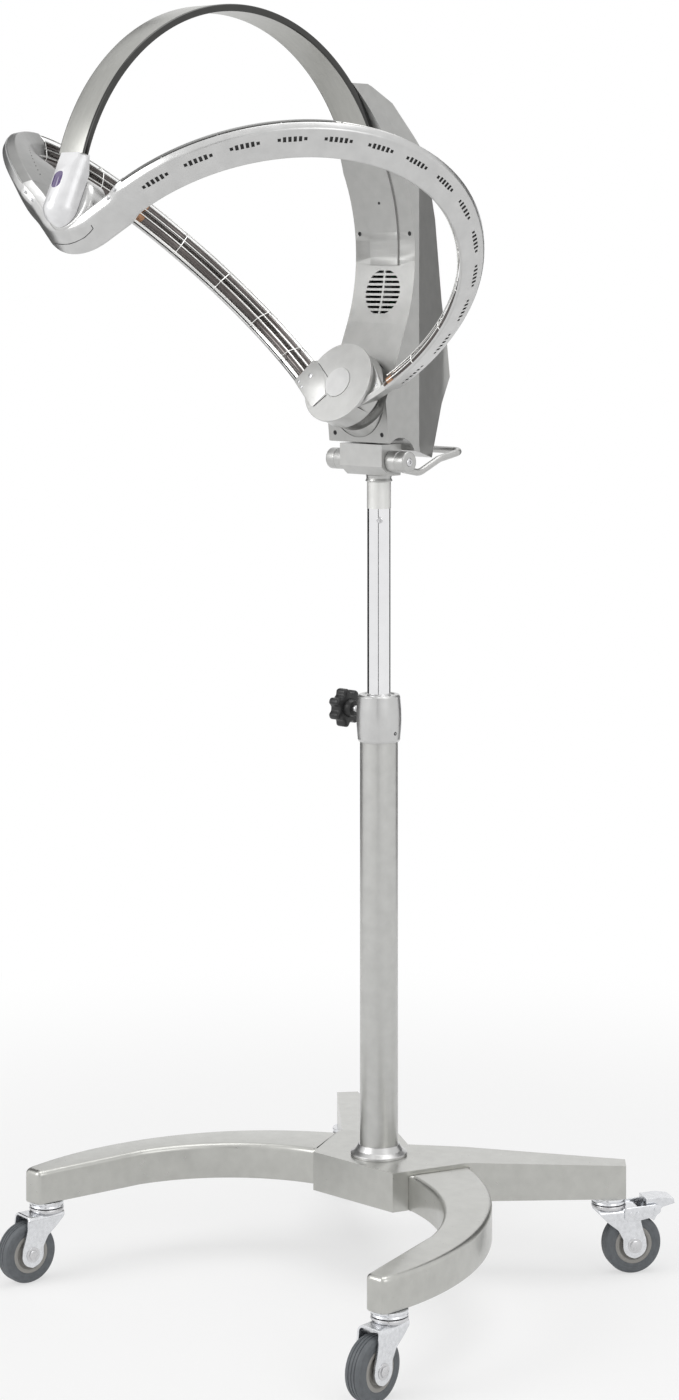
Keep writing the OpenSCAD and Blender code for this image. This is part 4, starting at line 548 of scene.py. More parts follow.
# Shell of an arm: the folded section is carried along the arm, the vents are cells of the grid left open, and
# an inner layer one wall inwards closes it
def armShell(side):
    path = roundedLine([edgeC + inDir * shell["lip"], edgeC, edgeB, edgeA, edgeA + acrossDir * shell["rim"]],
                       [0, shell["roundC"], shell["roundB"], shell["roundA"], 0], 6)
    middle = faceWidth * shell["share"]
    half = shell["slotH"] / 2
    marks = middle + half * np.array([1, shell["shoulder"], -shell["shoulder"], -1])
    onFace = edgeB + marks[:, None] * faceDir
    reach = path @ faceDir
    flat = [k for k in range(len(path) - 1) if reach[k] > marks[0] and reach[k + 1] < marks[-1]][0]
    path = np.concatenate([path[:flat + 1], onFace, path[flat + 1:]])
    slotRows = [flat + 1, flat + 2, flat + 3]
    tangent = tangents(path)
    normal = np.stack([tangent[:, 1], -tangent[:, 0]], 1)
    normal *= np.sign(np.sum(normal * (np.array(shell["inside"]) - path), 1))[:, None]
    inner = path + normal * shell["wall"]
    slots = []
    for g in range(shell["groups"]):
        at = shell["firstVent"] + (shell["lastVent"] - shell["firstVent"]) * g / (shell["groups"] - 1)
        radius = ring["r"] if at < ring["joinA"] else ring["rearR"]
        halfA = math.degrees(shell["slotW"] / 2 / radius)
        for k in range(shell["slots"]):
            a = at + (k - (shell["slots"] - 1) / 2) * shell["slotPitch"]
            slots.append((a - halfA, a + halfA, k in (0, shell["slots"] - 1)))
    edges = np.array([e for s in slots for e in s[:2]])
    plain = np.arange(ring["fromA"], ring["toA"] + 0.01, shell["rowStep"])
    plain = plain[np.min(np.abs(plain[:, None] - edges[None]), 1) > shell["rowGap"]]
    plain = plain[[not any(s[0] < a < s[1] for s in slots) for a in plain]]
    angles = np.sort(np.concatenate([plain, edges, [ring["joinA"]]]))
    rows, columns = len(angles), len(path)
    openCell = np.zeros((rows - 1, columns - 1), bool)
    centres = (angles[1:] + angles[:-1]) / 2
    for low, high, endSlot in slots:
        at = int(np.argmin(np.abs(centres - (low + high) / 2)))
        openCell[at, slotRows[1]] = True
        if not endSlot:
            openCell[at, slotRows[0]] = openCell[at, slotRows[2]] = True
    outerPoints = onArm(side, angles[:, None], path[None, :, 0], path[None, :, 1]).reshape(-1, 3)
    innerPoints = onArm(side, angles[:, None], inner[None, :, 0], inner[None, :, 1]).reshape(-1, 3)
    total = rows * columns
    quads = gridFaces(rows, columns).reshape(rows - 1, columns - 1, 4)
    outerFaces = quads[~openCell]
    faces = [outerFaces, outerFaces[:, ::-1] + total]
    i, j = np.nonzero(openCell)
    shut = np.pad(~openCell, 1, constant_values=True)
    for di, dj, c0, c1 in ((-1, 0, 3, 0), (1, 0, 1, 2), (0, -1, 0, 1), (0, 1, 2, 3)):
        wall = shut[i + 1 + di, j + 1 + dj]
        q = quads[i[wall], j[wall]]
        faces.append(np.stack([q[:, c0], q[:, c1], q[:, c1] + total, q[:, c0] + total], 1))
    left, right = np.arange(rows) * columns, np.arange(rows) * columns + columns - 1
    faces.append(np.stack([left[:-1], left[:-1] + total, left[1:] + total, left[1:]], 1))
    faces.append(np.stack([right[1:], right[1:] + total, right[:-1] + total, right[:-1]], 1))
    for row, turnBack in ((0, True), (rows - 1, False)):
        k = row * columns + np.arange(columns)
        end = np.stack([k[:-1], k[1:], k[1:] + total, k[:-1] + total], 1)
        faces.append(end if turnBack else end[:, ::-1])
    allFaces = np.concatenate(faces)
    return np.concatenate([outerPoints, innerPoints]), flipped(allFaces.tolist(), side)


# A closed section carried along an arm between two angles, with both ends shut
def alongArm(side, section, fromA, toA, step=1.5):
    section = np.asarray(section, float)
    angles = np.unique(np.concatenate([np.arange(fromA, toA, step), [toA]]))
    points = onArm(side, angles[:, None], section[None, :, 0], section[None, :, 1]).reshape(-1, 3)
    faces = tubeFaces(len(angles), len(section))
    return points, flipped(reversedFaces(faces) if signedArea(section) > 0 else faces, side)


def circle(centre, radius, count=12):
    t = np.linspace(0, 2 * np.pi, count, endpoint=False)
    return np.asarray(centre) + radius * np.stack([np.cos(t), np.sin(t)], 1)


heat = {"lampR": 4.5, "lampDeep": 7, "lampShares": (0.28, 0.7), "lampFrom": 4.5, "lampTo": 175.5, "lampStep": 1.2,
        "joinGap": 2.4, "socketR": 5.2, "socketStep": 0.5, "frontSocket": 2.9, "joinSocket": 2.2, "rearSocket": 1.9,
        "wires": 5, "wireR": 0.8, "wireFrom": 2.4, "wireTo": 176.6, "wireStep": 1.6, "guardDeep": 14.6,
        "guardFall": 0.45,
        "hoopEdge": 2, "hoopIn": 1.6, "hoopR": 5, "hoops": (13, 28, 44, 60, 75, 91, 107.6, 123, 138, 153, 167)}


# Guard wire k: spread across the opening, and lower towards its edges
def guardAt(k):
    last = heat["wires"] - 1
    return (edgeA + acrossDir * (opening * (k + 0.25) / (heat["wires"] - 0.5))
            + inDir * heat["guardDeep"] * (1 - abs(2 * k / last - 1) ** 4 * heat["guardFall"]))


for side, sideName in ((-1, "left"), (1, "right")):
    newPiece(sideName + "ArmShell", *armShell(side), "ringSilver", "ring", [sideName + "_arm_shell"], "ring_silver",
             28)
print("arm shells")

# Reflector: a bent sheet, its ends set in from the edges and its two bends given from edge B
trough = {"ends": ((5, 2.6), (-4.5, 2.6)), "bends": ((-10.5, -1.5), (-30, 8.6)), "bendR": (5, 2.5), "wall": 0.8,
          "fromA": 1.5, "toA": 177.5}
reflectorLine = roundedLine([onSection(*trough["ends"][0]), *[edgeB + np.array(b) for b in trough["bends"]],
                             onSection(*trough["ends"][1])], [0, *trough["bendR"], 0], 5)
tangent = tangents(reflectorLine)
reflectorBack = reflectorLine + np.stack([tangent[:, 1], -tangent[:, 0]], 1) * -trough["wall"]
reflectorLoop = np.concatenate([reflectorLine, reflectorBack[::-1]])
newPiece("ringReflectors", *joined([alongArm(s, reflectorLoop, trough["fromA"], trough["toA"]) for s in (-1, 1)]),
         "reflector", "ring", ["ring_reflectors"], "reflector", 50)
# Dark sheet just inside the vents, painted shade that makes the slots read dark: how far along the face from edge
# B, and how deep behind it
sheet = {"along": (4, 21), "deep": (1.7, 2.3), "fromA": 3, "toA": 176}
behind = np.array([-faceDir[1], faceDir[0]])
corners = [(sheet["along"][k], sheet["deep"][n]) for k, n in ((0, 0), (1, 0), (1, 1), (0, 1))]
ventShadeSheet = [edgeB + faceDir * along + behind * deep for along, deep in corners]
newPiece("ventShadeSheets", *joined([alongArm(s, ventShadeSheet, sheet["fromA"], sheet["toA"]) for s in (-1, 1)]),
         "darkRecess", "ring")
lampParts, socketParts, guardParts = [], [], []
for side in (-1, 1):
    for share in heat["lampShares"]:
        centre = onSection(opening * share, heat["lampDeep"])
        front = (heat["lampFrom"], ring["joinA"] - heat["joinGap"], heat["frontSocket"], heat["joinSocket"])
        rear = (ring["joinA"] + heat["joinGap"], heat["lampTo"], heat["joinSocket"], heat["rearSocket"])
        for low, high, lowSocket, highSocket in (front, rear):
            lampParts.append(alongArm(side, circle(centre, heat["lampR"], 16), low, high, heat["lampStep"]))
            for a, b in ((low - lowSocket, low), (high, high + highSocket)):
                socketParts.append(alongArm(side, circle(centre, heat["socketR"], 16), a, b, heat["socketStep"]))
    for k in range(heat["wires"]):
        wireLoop = circle(guardAt(k), heat["wireR"], 8)
        guardParts.append(alongArm(side, wireLoop, heat["wireFrom"], heat["wireTo"], heat["wireStep"]))
    for a in heat["hoops"]:
        rimPoint = onSection(heat["hoopEdge"], heat["hoopIn"])
        lipPoint = onSection(-heat["hoopEdge"], heat["hoopIn"])
        line = roundedLine([rimPoint, *[guardAt(k) for k in range(heat["wires"])], lipPoint],
                           [0] + [heat["hoopR"]] * heat["wires"] + [0], 3)
        path = onArm(side, np.full(len(line), float(a)), line[:, 0], line[:, 1])
        guardParts.append(barAlong(path, heat["wireR"], 8))
newPiece("heaterTubes", *joined(lampParts), "lampGlass", "ring", ["ring_lamps"], "lamp_glass", 50)
newPiece("tubeSockets", *joined(socketParts), "ceramic", "ring", ["lamp_sockets"], "ceramic", 50)
newPiece("guardWires", *joined(guardParts), "guardWire", "ring", ["ring_guards"], "guard_wire", 60)
print("reflectors, tubes and guards")

# Castings kept from the solids: their finish, slot and how far their edges are rounded
castings = {
    "pivot_drum": ("pivotDrum", "jointSilver", 1.2, "ring_silver"),
    "arch_end_cap": ("archEndCap", "capWhite", 1.2, "cap_white", 3, 40),
    "pivot_bowl": ("pivotBowl", "jointSilver", 1.0, "joint_silver"),
    "body_front_cover": ("bodyFrontCover", "coverSilver", 1.6, "cover_silver"),
    "body_rear_cover": ("bodyRearCover", "coverSilver", 2.0, "cover_dark"),
    "body_centre_panel": ("bodyCentrePanel", "coverSilver", 0.8, "cover_silver"),
    "tilt_block": ("tiltBlock", "jointSilver", 1.6, "joint_silver"),
}
for nodeName, casting in castings.items():
    softCopy(nodeName, *casting)
print("head castings")

# Junction of the arms: place q runs along the crease from the middle. Past the bend the section goes straight
# on to the arm, x = (R + h) sin p + run cos f, w = centre - (R + h) cos p + run sin f, with p the smaller of q
# / R and the fold f; drop lets it pass behind the end cap.
junction = {"bendR": 65, "end": 104.6, "drop": 6, "dropFrom": 76, "dropTo": 100, "padR": 35, "padTop": 505,
            "padEdge": 7,
            "seam": [(-24, 0.67), (-22, 0.64), (-16, 0.6), (-9, 0.56), (3, 0.52), (13, 0.48), (26, 0.44),
                     (35, 0.38), (41, 0.33), (42, 0.2)],
            "screws": [(79, 0.45), (93, 0.45)], "padBack": 478, "deepA": 13, "deepC": 7,
            "rounds": [3.5, 9, 3, 3, 2], "seamR": 0.5, "seamLift": 0.1, "screw": (2.9, 1.1, (1.2, 1.0), (0.5, 0.2))}


def onJunction(q, outward, height, lift=0.0):
    f, radius = math.radians(ring["fold"]), junction["bendR"]
    away, height = np.abs(q), height + lift
    p = np.minimum(away / radius, f)
    run = np.maximum(0, away - radius * f)
    x = (radius + height) * np.sin(p) + run * math.cos(f)
    w = radius / math.cos(f) - ring["foldDrop"] - (radius + height) * np.cos(p) + run * math.sin(f)
    t = np.clip((junction["dropTo"] - away) / (junction["dropTo"] - junction["dropFrom"]), 0, 1)
    s = ring["back"] + ring["r"] + outward - junction["drop"] * t * t * (3 - 2 * t)
    return fromRing(np.sign(q) * x, w, s)


# The arms' section, closed on its open side, carried from one arm to the other
def frontJunction():
    corners = [edgeC, edgeB, edgeA, edgeA + inDir * junction["deepA"], edgeC + inDir * junction["deepC"]]
    section = roundedLine(corners, junction["rounds"], 7, True)
    q = np.linspace(-junction["end"], junction["end"], 121)
    block = onJunction(q[:, None], section[None, :, 0], section[None, :, 1]).reshape(-1, 3)
    return block, tubeFaces(len(q), len(section))


axisDir = fromRing(0, 0, 1) - fromRing(0, 0, 0)
foldCos = math.cos(math.radians(ring["fold"]))
padCentre = junction["padR"] + junction["bendR"] / foldCos - ring["foldDrop"] - junction["bendR"]
padLine = [(0, junction["padBack"]), (junction["padR"], junction["padBack"]),
           (junction["padR"], junction["padTop"]), (0, junction["padTop"])]
pad = turnedRound(padLine, [0, 1, junction["padEdge"], 0], base=fromRing(0, padCentre, 0), axis=axisDir, count=96)
newPiece("frontJunction", *joined([frontJunction(), pad]), "ringSilver", "ring", ["ring_front_hub"], "ring_silver",
         45)
seamLine = np.array(junction["seam"])
seamPlace = edgeB + (edgeC - edgeB) * seamLine[:, 1:2]
seamPath = np.stack([onJunction(q, o, h, junction["seamLift"]) for q, (o, h) in zip(seamLine[:, 0], seamPlace)])
newPiece("junctionSeam", *barAlong(seamPath, junction["seamR"], 8), "darkRecess", "ring", [], "ring_silver", 60)


# Pan-head screw: a rounded head of the given radius and height with a dished middle
def screwHead(radius, height, dish, rounds, base, axis):
    line = [(0, -1), (radius, -1), (radius, 0.5), (dish[0], height), (dish[1], 0.2), (0, 0.2)]
    return turnedRound(line, [0, 0, *rounds, 0.1, 0], base=base, axis=axis, count=28)


screwParts = []
stripDir = (0.965, 0.263)  # square to the strip between edges A and B
for side in (-1, 1):
    for q, share in junction["screws"]:
        place = edgeA + (edgeB - edgeA) * share
        at = onJunction(side * q, *place)
        out = onJunction(side * q, place[0] + stripDir[0], stripDir[1]) - at
        screwParts.append(screwHead(*junction["screw"], at, out))
newPiece("junctionScrews", *joined(screwParts), "screwSteel", "ring", [], "ring_silver", 40)


# Plates that join the arms to the lower disc, their seams and screws, in the ring's x and w
lower = {"left": [(-54, 27.6), (-44, 28.3), (-26, 10), (-14, -16), (-31, -36), (-75, -0.6)],
         "right": [(40.7, 31.9), (67.7, 0.2), (38.5, -25), (30, 0)],
         "top": 0.35, "rightTop": -8, "thick": 5, "edge": 0.6, "seamUp": 0.02, "seamR": 0.35,
         "seams": [[(-28, -34), (-12, -18)], [(-42, 25), (-19, 6.5)]],
         "leftScrews": [(-49, 7.5, 3.3), (-66, -1.5, 2.3), (-58.5, -8, 2.3)],
         "rightScrews": [(58, 2, 2.3), (46, -8, 2.3)], "screwHigh": 1.0, "dish": (0.45, 0.35),
         "screwRounds": (0.4, 0.2)}
plateParts = [plate(roundedLine(lower["left"], [2, 2, 3, 3, 3, 3], 4, True), lower["top"] - lower["thick"],
                    lower["top"], lower["edge"], fromRing, 3),
              plate(roundedLine(lower["right"], [2, 3, 2, 3], 4, True), lower["rightTop"] - lower["thick"],
                    lower["rightTop"], lower["edge"], fromRing, 3)]
newPiece("discPlates", *joined(plateParts), "jointSilver", "ring", [], "ring_silver", 40)
seamTop = lower["top"] + lower["seamUp"]
seams = []
for a, b in lower["seams"]:
    seamRun = np.linspace((*a, seamTop), (*b, seamTop), 6)
    seams.append(barAlong(fromRing(*seamRun.T), lower["seamR"], 8))
newPiece("discSeams", *joined(seams), "darkRecess", "ring", [], "ring_silver", 60)
screwParts = []
for group, top in (("leftScrews", lower["top"]), ("rightScrews", lower["rightTop"])):
    for x, w, radius in lower[group]:
        dish = [radius * share for share in lower["dish"]]
        screwParts.append(screwHead(radius, lower["screwHigh"], dish, lower["screwRounds"], fromRing(x, w, top),
                                    axisDir))
newPiece("discScrews", *joined(screwParts), "screwSteel", "ring", [], "ring_silver", 40)
print("ring junction and plates")

# Hood: its three depths, at the start, ridge and end of its section, are flat where the heater begins and deep
# in front
hood = {"fromQ": 62, "toA": 58, "fade": 44, "wall": 1.2, "edge": 1.6, "flat": (11, 17.2, 12), "deep": (12, 29, 62),
        "start": 0.6, "startIn": 0.8, "ridge": 17, "endIn": 1.5, "rounds": (4, 9, 5),
        "vents": 15, "ventFrom": 8, "ventTo": 47, "ventHalf": 1.7, "ventR": 0.6, "ventSink": 1.2}


# Section of the hood for three depths in from the opening: a rounded line from edge to edge, and the same line
# one wall inwards
def hoodLoop(depths):
    start, end = hood["start"], -hood["edge"]
    corners = [onSection(start, hood["startIn"]), onSection(start, depths[0]), onSection(hood["ridge"], depths[1]),
               onSection(end, depths[2]), onSection(end, hood["endIn"])]
    line = roundedLine(corners, [0, *hood["rounds"], 0], 6)
    along = tangents(line)
    return np.concatenate([line, (line + np.stack([along[:, 1], -along[:, 0]], 1) * hood["wall"])[::-1]])


# Share of the deep section at angle a: smoothstep of (toA - a) / fade
def hoodShare(a):
    t = np.clip((hood["toA"] - a) / hood["fade"], 0, 1)
    return t * t * (3 - 2 * t)


# Hood over an arm's open side, from inside the junction to where the heater shows: flat section times (1 -
# share) + deep times share, first straight along the junction and then round the arm
def armHood(side):
    angles = np.linspace(0.2, hood["toA"], 64)
    share = hoodShare(angles)[:, None, None]
    section = hoodLoop(hood["flat"]) * (1 - share) + hoodLoop(hood["deep"]) * share
    arm = onArm(side, angles[:, None], section[..., 0], section[..., 1])
    q = side * np.linspace(hood["fromQ"], junction["end"], 12)[:, None]
    points = np.concatenate([onJunction(q, section[:1, :, 0], section[:1, :, 1]), arm])
    faces = tubeFaces(*points.shape[:2])
    return points.reshape(-1, 3), flipped(reversedFaces(faces) if signedArea(section[0]) > 0 else faces, side)


# Each hood vent slot is a near-black bar sunk into the ridge: painted shade for the slot's hollow
ventParts = []
for side, sideName in ((-1, "left"), (1, "right")):
    newPiece(sideName + "ArmHood", *armHood(side), "hoodSilver", "ring", (), None, 45)
    for a in np.linspace(hood["ventFrom"], hood["ventTo"], hood["vents"]):
        share = hoodShare(a)
        ridge = onSection(hood["ridge"], hood["flat"][1] * (1 - share) + hood["deep"][1] * share - hood["ventSink"])
        ends = np.stack([ridge - acrossDir * hood["ventHalf"], ridge + acrossDir * hood["ventHalf"]])
        ventParts.append(barAlong(onArm(side, np.full(2, float(a)), ends[:, 0], ends[:, 1]), hood["ventR"], 8))
newPiece("hoodVentShade", *joined(ventParts), "darkRecess", "ring")
print("arm hoods")

# Arch: the band's section is a rounded rectangle that narrows towards the front, carried round its centre
arch = {"centreY": -275.3, "centreZ": 1329.2, "r": 266, "t": 9, "frontHalf": 21.5, "rearHalf": 28, "frontA": 162.4,
        "rearA": 26.3, "edge": 2.2}


def archBand():
    a = np.radians(np.linspace(arch["rearA"], arch["frontA"], 150))
    q = np.linspace(0, np.pi / 2, 6)
    e = arch["edge"]
    corner = []
    for sx, sy, shift in ((1, 1, 0), (-1, 1, 1), (-1, -1, 2), (1, -1, 3)):
        t = q + shift * np.pi / 2
        corner.append(np.stack([np.full(len(t), sx), np.full(len(t), sy), np.cos(t) * e, np.sin(t) * e], 1))
    corner = np.concatenate(corner)
    middleR = arch["r"] - arch["t"] / 2
    y = arch["centreY"] + middleR * np.cos(a)
    share = (y - (arch["centreY"] - arch["r"])) / (2 * arch["r"])
    half = arch["frontHalf"] + (arch["rearHalf"] - arch["frontHalf"]) * share
    x = corner[None, :, 0] * (half[:, None] - e) + corner[None, :, 2]
    r = middleR + corner[None, :, 1] * (arch["t"] / 2 - e) + corner[None, :, 3]
    points = stacked(x, arch["centreY"] + r * np.cos(a)[:, None], arch["centreZ"] + r * np.sin(a)[:, None])
    rows, columns = points.shape[:2]
    # The side faces take the near-black edge finish, a painted dark reflection
    edgeOn = (corner[:, 0] == np.roll(corner[:, 0], -1)).astype(int)
    finishOf = np.tile(edgeOn, rows - 1).tolist() + [0, 0]
    return points.reshape(-1, 3), reversedFaces(tubeFaces(rows, columns)), finishOf


archPoints, archFaces, archFinish = archBand()
newPiece("archBand", archPoints, archFaces, ("archFace", "archEdgePaintedReflection"), "head", ["arch_band"], "arch_silver", 50,
         archFinish)
print("arch")

# Stand: castings as plates with rounded edges
stand = {"under": 98, "rootTop": 143, "tipTop": 140, "edge": 6.5, "lowEdge": 2.5, "outer": (-60.5, -279.5, 369.7),
         "inner": (16.9, -265.7, 242.8), "frontY": -332, "innerTip": (277, -332), "innerKnee": (246.9, -190),
         "rootIn": (76.9, -29.6), "rootOut": (108.2, 48.2), "tipRound": 7, "kneeFrom": 14, "kneeTo": 12,
         "fallFrom": -50}


# Corner softened by a quadratic curve between two points and the corner
def softCorner(before, corner, after, steps=6):
    t = np.linspace(0, 1, steps + 1)[:, None]
    before, corner, after = (np.asarray(p, float) for p in (before, corner, after))
    return (1 - t) ** 2 * before + 2 * t * (1 - t) * corner + t ** 2 * after


# The point a length from start towards end
def towards(start, end, length):
    start, end = np.asarray(start, float), np.asarray(end, float)
    return start + (end - start) / np.linalg.norm(end - start) * length


# Arc round [x, y, radius] from one point's direction to another's
def arcPoints(centre, fromPoint, toPoint, count):
    a0 = math.atan2(fromPoint[1] - centre[1], fromPoint[0] - centre[0])
    a1 = math.atan2(toPoint[1] - centre[1], toPoint[0] - centre[0])
    a = np.linspace(a0, a1, count)
    return np.stack([centre[0] + centre[2] * np.cos(a), centre[1] + centre[2] * np.sin(a)], 1)


# Right front leg from above: outer arc, softened tip, straight inner side and inner arc back to the root
def frontLegOutline():
    rootIn, rootOut = np.array(stand["rootIn"]), np.array(stand["rootOut"])
    centreX, centreY, radius = stand["outer"]
    outerTip = np.array([centreX + math.sqrt(radius ** 2 - (stand["frontY"] - centreY) ** 2), stand["frontY"]])
    innerTip, knee = np.array(stand["innerTip"], float), np.array(stand["innerKnee"], float)
    outerArc = arcPoints(stand["outer"], rootOut, outerTip, 60)[:-2]
    innerArc = arcPoints(stand["inner"], knee, rootIn, 49)
    tip = stand["tipRound"]
    line = [outerArc, softCorner(outerArc[-1], outerTip, towards(outerTip, innerTip, tip))[1:],
            softCorner(towards(innerTip, outerTip, tip), innerTip, towards(innerTip, knee, tip))[:-1],
            np.linspace(towards(innerTip, knee, stand["kneeFrom"]), towards(knee, innerTip, stand["kneeTo"]), 10),
            innerArc[1:-1], rootIn[None]]
    return np.concatenate(line)


# Height of a leg's top, which falls evenly from fallFrom to its tip
def legTop(x, y):
    fall = (stand["rootTop"] - stand["tipTop"]) / (stand["fallFrom"] - stand["frontY"])
    return stand["rootTop"] + np.minimum(0, (y - stand["fallFrom"]) * fall)


for side, sideName in ((-1, "left"), (1, "right")):
    outline = frontLegOutline() * (side, 1)
    block, faces = plate(outline, stand["under"], legTop, stand["edge"], stacked, 6, stand["lowEdge"], True)
    newPiece(sideName + "FrontLeg", block, faces, "baseSilver", "stand", [sideName + "_front_leg"], "cast_grey", 60)
softCopy("base_hub", "baseHub", "baseSilver", 5.0, "cast_grey", 5, 30)
print("base castings")

# Piece turned from a line, with the corners rounded
def turnedPiece(name, line, corners, count, finish, body, node, slot, **place):
    newPiece(name, *turnedRound(line, corners, count=count, **place), finish, body, [node] if node else [], slot)


# Column, collar, mast and its small parts: [radius, height] points, the rounding of each corner, sides, finish,
# body, node and slot
collarSide = [(26.6 + 2.2 * math.sin(math.radians(20 + 14 * k)), 680 + 4.8 * k) for k in range(11)]
stopDir = (math.sin(math.radians(45)), -math.cos(math.radians(45)), 0)
ringLike = {"closed": True}
turnedPieces = {
    "columnTube": ([(0, 117), (24.3, 117), (24.3, 722), (0, 722)], [0, 0.5, 0.5, 0],
                   128, "columnSilver", "stand", "column_tube", "column_paint", {}),
    "columnFootRing": ([(24.4, 147), (36, 147), (36, 150.5), (30, 154), (25.8, 161), (24.4, 161)],
                       [0, 0.4, 1.2, 4, 0.5, 0],
                       96, "ringSilver", "stand", "column_foot_ring", "cast_grey", ringLike),
    "clampCollar": ([(24.5, 674), (26.2, 674), (27.2, 677), *collarSide, (27.2, 731.5), (25.4, 733.8), (21, 733.8),
                     (19, 732.4), (15.2, 732.2)],
                    [0, 0.5, 0.8] + [0] * 11 + [1, 0.8, 0.8, 0.6, 0],
                    128, "ringSilver", "stand", "clamp_collar", "collar_silver", ringLike),
    "mastTube": ([(0, 420), (15, 420), (15, 1005), (0, 1005)], [0, 0.6, 0.6, 0],
                 128, "mastChrome", "mast", "mast_tube", "mast_chrome", {}),
    "mastBand": ([(15.0, 970.9), (15.4, 970.9), (15.4, 1004.9), (15.0, 1004.9)], [0] * 4,
                 96, "bandSilver", "mast", "mast_band", "band_silver", ringLike),
    "mastFlange": ([(0, 1005.1), (16.3, 1005.1), (17.5, 1006.2), (15.9, 1009.3), (16.7, 1013.6), (0, 1013.6)],
                   [0, 0.4, 0.4, 1, 0.5, 0],
                   96, "jointSilver", "neck", "mast_flange", "joint_silver", {}),
    "mastStopScrew": ([(0, 14), (2, 14), (2, 15), (4.2, 15), (4.2, 18.4), (2.4, 19), (2.2, 17.6), (0, 17.6)],
                      [0, 0, 0, 0.3, 0.8, 0.2, 0.2, 0], 32, "screwSteel", "mast", "mast_stop_screw", "steel_small",
                      {"base": (0, 0, 957), "axis": stopDir}),
}
for name, (*values, place) in turnedPieces.items():
    turnedPiece(name, *values, **place)
print("column and mast")

# Knob: a star outline of lobes, its edges rounded, domed at the outer face, with a neck towards the collar
knob = {"z": 711, "back": 50, "t": 17, "r": 25, "lobes": 7, "edge": 3.2, "lobeDeep": 0.115, "lobeSharp": 1.6,
        "domeSink": 0.2, "neck": 8, "dome": [(0, 0), (11.5, 0), (9.8, 3.2), (0, 3.6)], "domeRounds": [0, 1, 1.2, 0],
        "neckLine": [(0, 0), (9.4, 0), (10.6, 3), (12.5, 8.6), (0, 8.6)], "neckRounds": [0, 0.8, 1, 0.5, 0]}


# Star outline: radius = r (1 - deep + deep tanh(sharp cos(lobes t)) / tanh(sharp))
def knobOutline(count=210):
    t = np.linspace(0, 2 * np.pi, count, endpoint=False)
    deep, sharp = knob["lobeDeep"], knob["lobeSharp"]
    r = knob["r"] * (1 - deep + deep * np.tanh(sharp * np.cos(knob["lobes"] * t)) / math.tanh(sharp))
    return np.stack([r * np.cos(t), r * np.sin(t)], 1)


# The knob's axis runs to -X, so across and along go to Y and Z
def onKnob(a, b, h):
    return stacked(-h, a, knob["z"] + b)


level = {"base": (0, 0, knob["z"]), "axis": (-1, 0, 0)}
dome = {"base": (-knob["back"] - knob["t"] + knob["domeSink"], 0, knob["z"]), "axis": (-1, 0, 0), "count": 64}
neck = {"base": (-knob["back"] + knob["neck"], 0, knob["z"]), "axis": (-1, 0, 0), "count": 64}
knobParts = [plate(knobOutline(), knob["back"], knob["back"] + knob["t"], knob["edge"], onKnob, 5),
             turnedRound(knob["dome"], knob["domeRounds"], **dome),
             turnedRound(knob["neckLine"], knob["neckRounds"], **neck)]
newPiece("clampKnob", *joined(knobParts), "blackPlastic", "clamp", ["clamp_knob"], "black_plastic", 50)
ridges = [p for k in range(22) for p in ((4.0, 16.0 + k), (3.45, 16.5 + k))]
threads = [(0, 15.4), (3.3, 15.4), *ridges, (4.0, 38.2), (4.0, 43), (0, 43)]
newPiece("clampStud", *turned(threads, count=28, **level), "screwSteel", "clamp", ["clamp_stud"], "steel_small", 60)
turnedPiece("collarBoss", [(4.2, 25.5), (8.6, 25.5), (7.2, 30.5), (5.6, 31.6), (4.2, 31.6)], [0, 0, 0.8, 0.6, 0],
            48, "ringSilver", "stand", None, "collar_silver", closed=True, **level)
turnedPiece("collarSetScrew", [(0, 22.6), (2.5, 22.6), (2.5, 28.0), (1.3, 28.4), (1.2, 27.0), (0, 26.8)],
            [0, 0, 0.3, 0, 0, 0],
            24, "blackPlastic", "stand", "collar_set_screw", "black_plastic", base=(0, 0, 686), axis=(1, 0, 0))
print("knob")

# Tilt joint: barrels with rounded ends, their screws and the bent handle
tilt = {"y": -16, "z": 1033,
        "barrel": [(6.2, 36.2), (13.4, 36.2), (13.6, 37.4), (13.6, 51), (13.1, 51.4), (13.1, 52.2), (13.6, 52.6),
                   (13.6, 66.2), (5.3, 66.2), (5.3, 63), (6.2, 63)],
        "barrelRounds": [0, 0.3, 0.6, 0.2, 0.2, 0.2, 0.2, 2.2, 0.5, 0, 0],
        "screw": [(0, 63), (5.2, 63), (5.2, 66.4), (3.9, 67.3), (2.4, 67.3), (2.2, 65.6), (0, 65.6)],
        "screwRounds": [0, 0, 0.6, 0.5, 0.2, 0.2, 0]}
barrelParts, capParts = [], []
for s in (-1, 1):
    place = {"base": (0, tilt["y"], tilt["z"]), "axis": (s, 0, 0)}
    barrelParts.append(turnedRound(tilt["barrel"], tilt["barrelRounds"], count=96, closed=True, **place))
    capParts.append(turnedRound(tilt["screw"], tilt["screwRounds"], count=48, **place))
newPiece("tiltBarrels", *joined(barrelParts), "jointSilver", "head", ["tilt_barrels"], "joint_silver", 40)
newPiece("barrelScrews", *joined(capParts), "screwSteel", "head", ["barrel_screws"], "steel_small", 40)
handle = {"halfW": 47, "r": 4.5, "route": [(-6, 1022.5), (24, 1017), (63, 1033), (110, 1041.05)],
          "rounds": [0, 24, 24, 15]}
rightHalf = [(handle["halfW"], *q) for q in handle["route"]]
leftHalf = [(-x, *q) for x, *q in rightHalf[::-1]]
handlePath = roundedLine(rightHalf + leftHalf, handle["rounds"] + handle["rounds"][::-1], 12)
newPiece("pushHandle", *barAlong(handlePath, handle["r"], 24), "jointSilver", "head", ["push_handle"],
         "handle_silver", 60)
print("tilt joint and handle")

